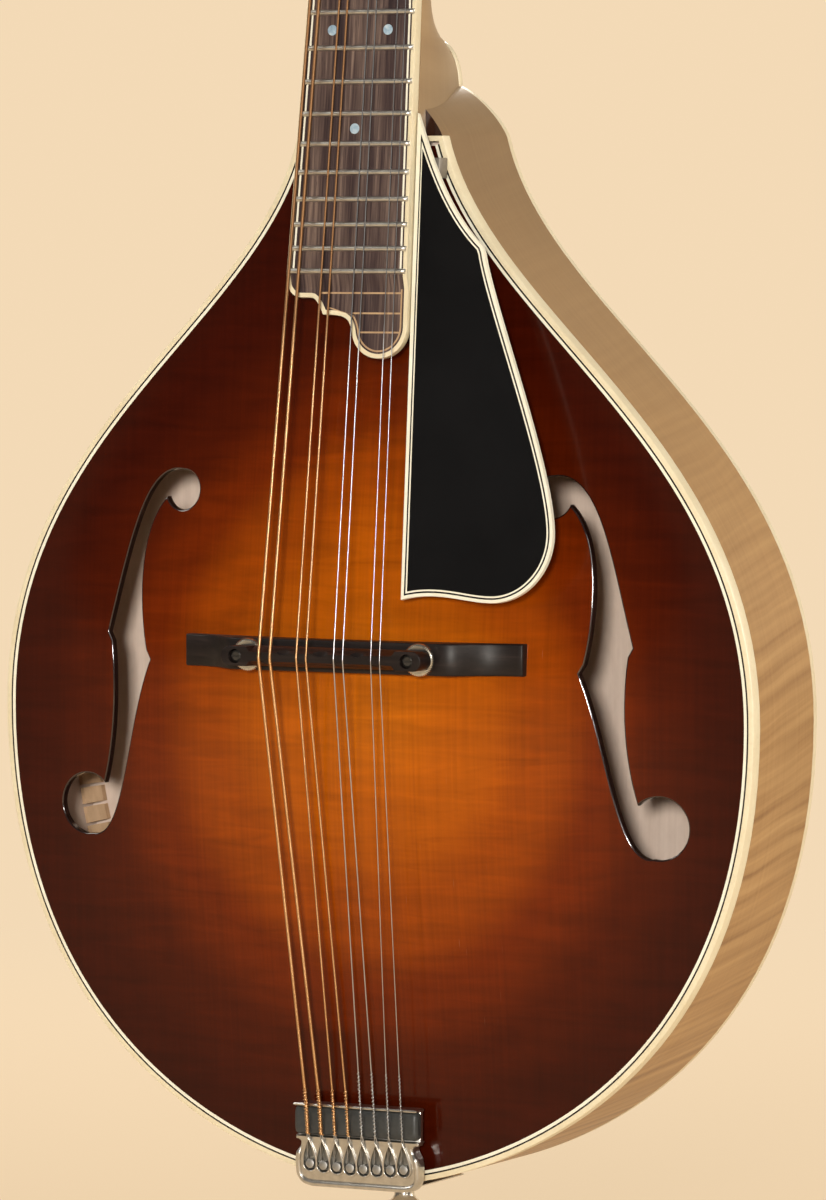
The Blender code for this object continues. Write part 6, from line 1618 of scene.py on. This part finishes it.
# floor, light and camera
stage = {
    "floorZ": -0.62, "pale": (0.90, 0.70, 0.47), "shadowReach": (0.5, 1.7), "room": (1.0, 0.93, 0.84),
    "roomLevel": 0.11, "lampColour": (1.0, 0.95, 0.87), "aim": (0, 0, -0.33),
    "lamps": (  # name, place, size and power
        ("front", (1.24, -2.93, 0.03), 0.28, 74.0), ("right", (1.7, -1.1, 0.30), 0.7, 9.0),
        ("left", (-1.6, -1.0, 0.9), 0.7, 12.0), ("backLeft", (-1.0, 1.7, 0.7), 1.0, 26.0),
        ("backRight", (1.9, 1.0, 0.4), 1.0, 18.0),
    ),
    "camera": {"spot": (0.9258, -1.7686, -0.2350), "ahead": (-0.4623, 0.8850, -0.0553),
               "up": (-0.0258, 0.0490, 0.9985), "lens": 201.4},
}


def paleWhereSeen(paint, plain, part):
    rays = [paint.node("ShaderNodeLightPath", {}, {}, name)
            for name in ("Is Camera Ray", "Is Glossy Ray", "Is Transmission Ray")]
    glow = paint.node("ShaderNodeEmission", {}, {"Color": stage["pale"], "Strength": 1.0}, "Emission")
    seen = ((rays[0] + rays[2]).capped() + rays[1] * part[1]) * part[0]
    return paint.node("ShaderNodeMixShader", {}, {0: seen.capped(), 1: plain, 2: glow}, "Shader")


def makeFloor():
    paint = Paint("paleFloor", stage["pale"], 0.9, Specular_IOR_Level=0.0)
    shape = bmesh.new()
    bmesh.ops.create_grid(shape, x_segments=8, y_segments=8, size=30.0)
    floor = linked("floor", newMesh("floor", shape))
    floor.location = (0, 0, stage["floorZ"])
    x, y, z = paint.parts(paint.spot())
    grain = paint.noise(paint.spot(), 3.0, 2.0) * 0.02
    near, far = stage["shadowReach"]
    away = ((x**2 + y**2) ** 0.5 + grain).ease(near, far) * 0.6 + 0.4
    mixed = paleWhereSeen(paint, Wire(paint, paint.shader.outputs[0]), (away, 0.5))
    paint.tree.links.new(mixed.socket, paint.tree.nodes["Material Output"].inputs["Surface"])
    floor.data.materials.append(paint.material)


def makeRoom():
    world = bpy.data.worlds.new("paleRoom")
    scene.world = world
    world.use_nodes = True
    room = Paint.__new__(Paint)
    room.tree = world.node_tree
    ground = room.tree.nodes["Background"]
    ground.inputs["Color"].default_value = (*stage["room"], 1.0)
    ground.inputs["Strength"].default_value = stage["roomLevel"]
    x, y, z = room.parts(room.node("ShaderNodeTexCoord", {}, {}, "Generated"))
    behind = y.ease(0.0, 0.5)
    mixed = paleWhereSeen(room, Wire(room, ground.outputs[0]), (1.0, behind))
    room.tree.links.new(mixed.socket, room.tree.nodes["World Output"].inputs["Surface"])


def makeLamps():
    for name, spot, size, power in stage["lamps"]:
        lamp = bpy.data.lights.new(name, "AREA")
        lamp.size = size
        lamp.energy = power
        lamp.color = stage["lampColour"]
        holder = linked(name, lamp)
        holder.location = spot
        aim = Vector(stage["aim"]) - Vector(spot)
        holder.rotation_euler = aim.to_track_quat("-Z", "Y").to_euler()


def makeCamera():
    view = stage["camera"]
    ahead = Vector(view["ahead"]).normalized()
    right = ahead.cross(Vector(view["up"])).normalized()
    up = right.cross(ahead)
    lens = bpy.data.cameras.new("photographer")
    lens.lens = view["lens"]
    lens.sensor_width = 36.0
    lens.sensor_height = 36.0
    lens.sensor_fit = "AUTO"
    lens.clip_start = 0.05
    camera = linked("photographer", lens)
    turn = Matrix((right, up, -ahead)).transposed().to_4x4()
    camera.matrix_world = Matrix.Translation(view["spot"]) @ turn
    scene.camera = camera


makeFloor()
makeRoom()
makeLamps()
makeCamera()
scene.view_settings.view_transform = "Standard"
print("mandolin: stage and camera set")
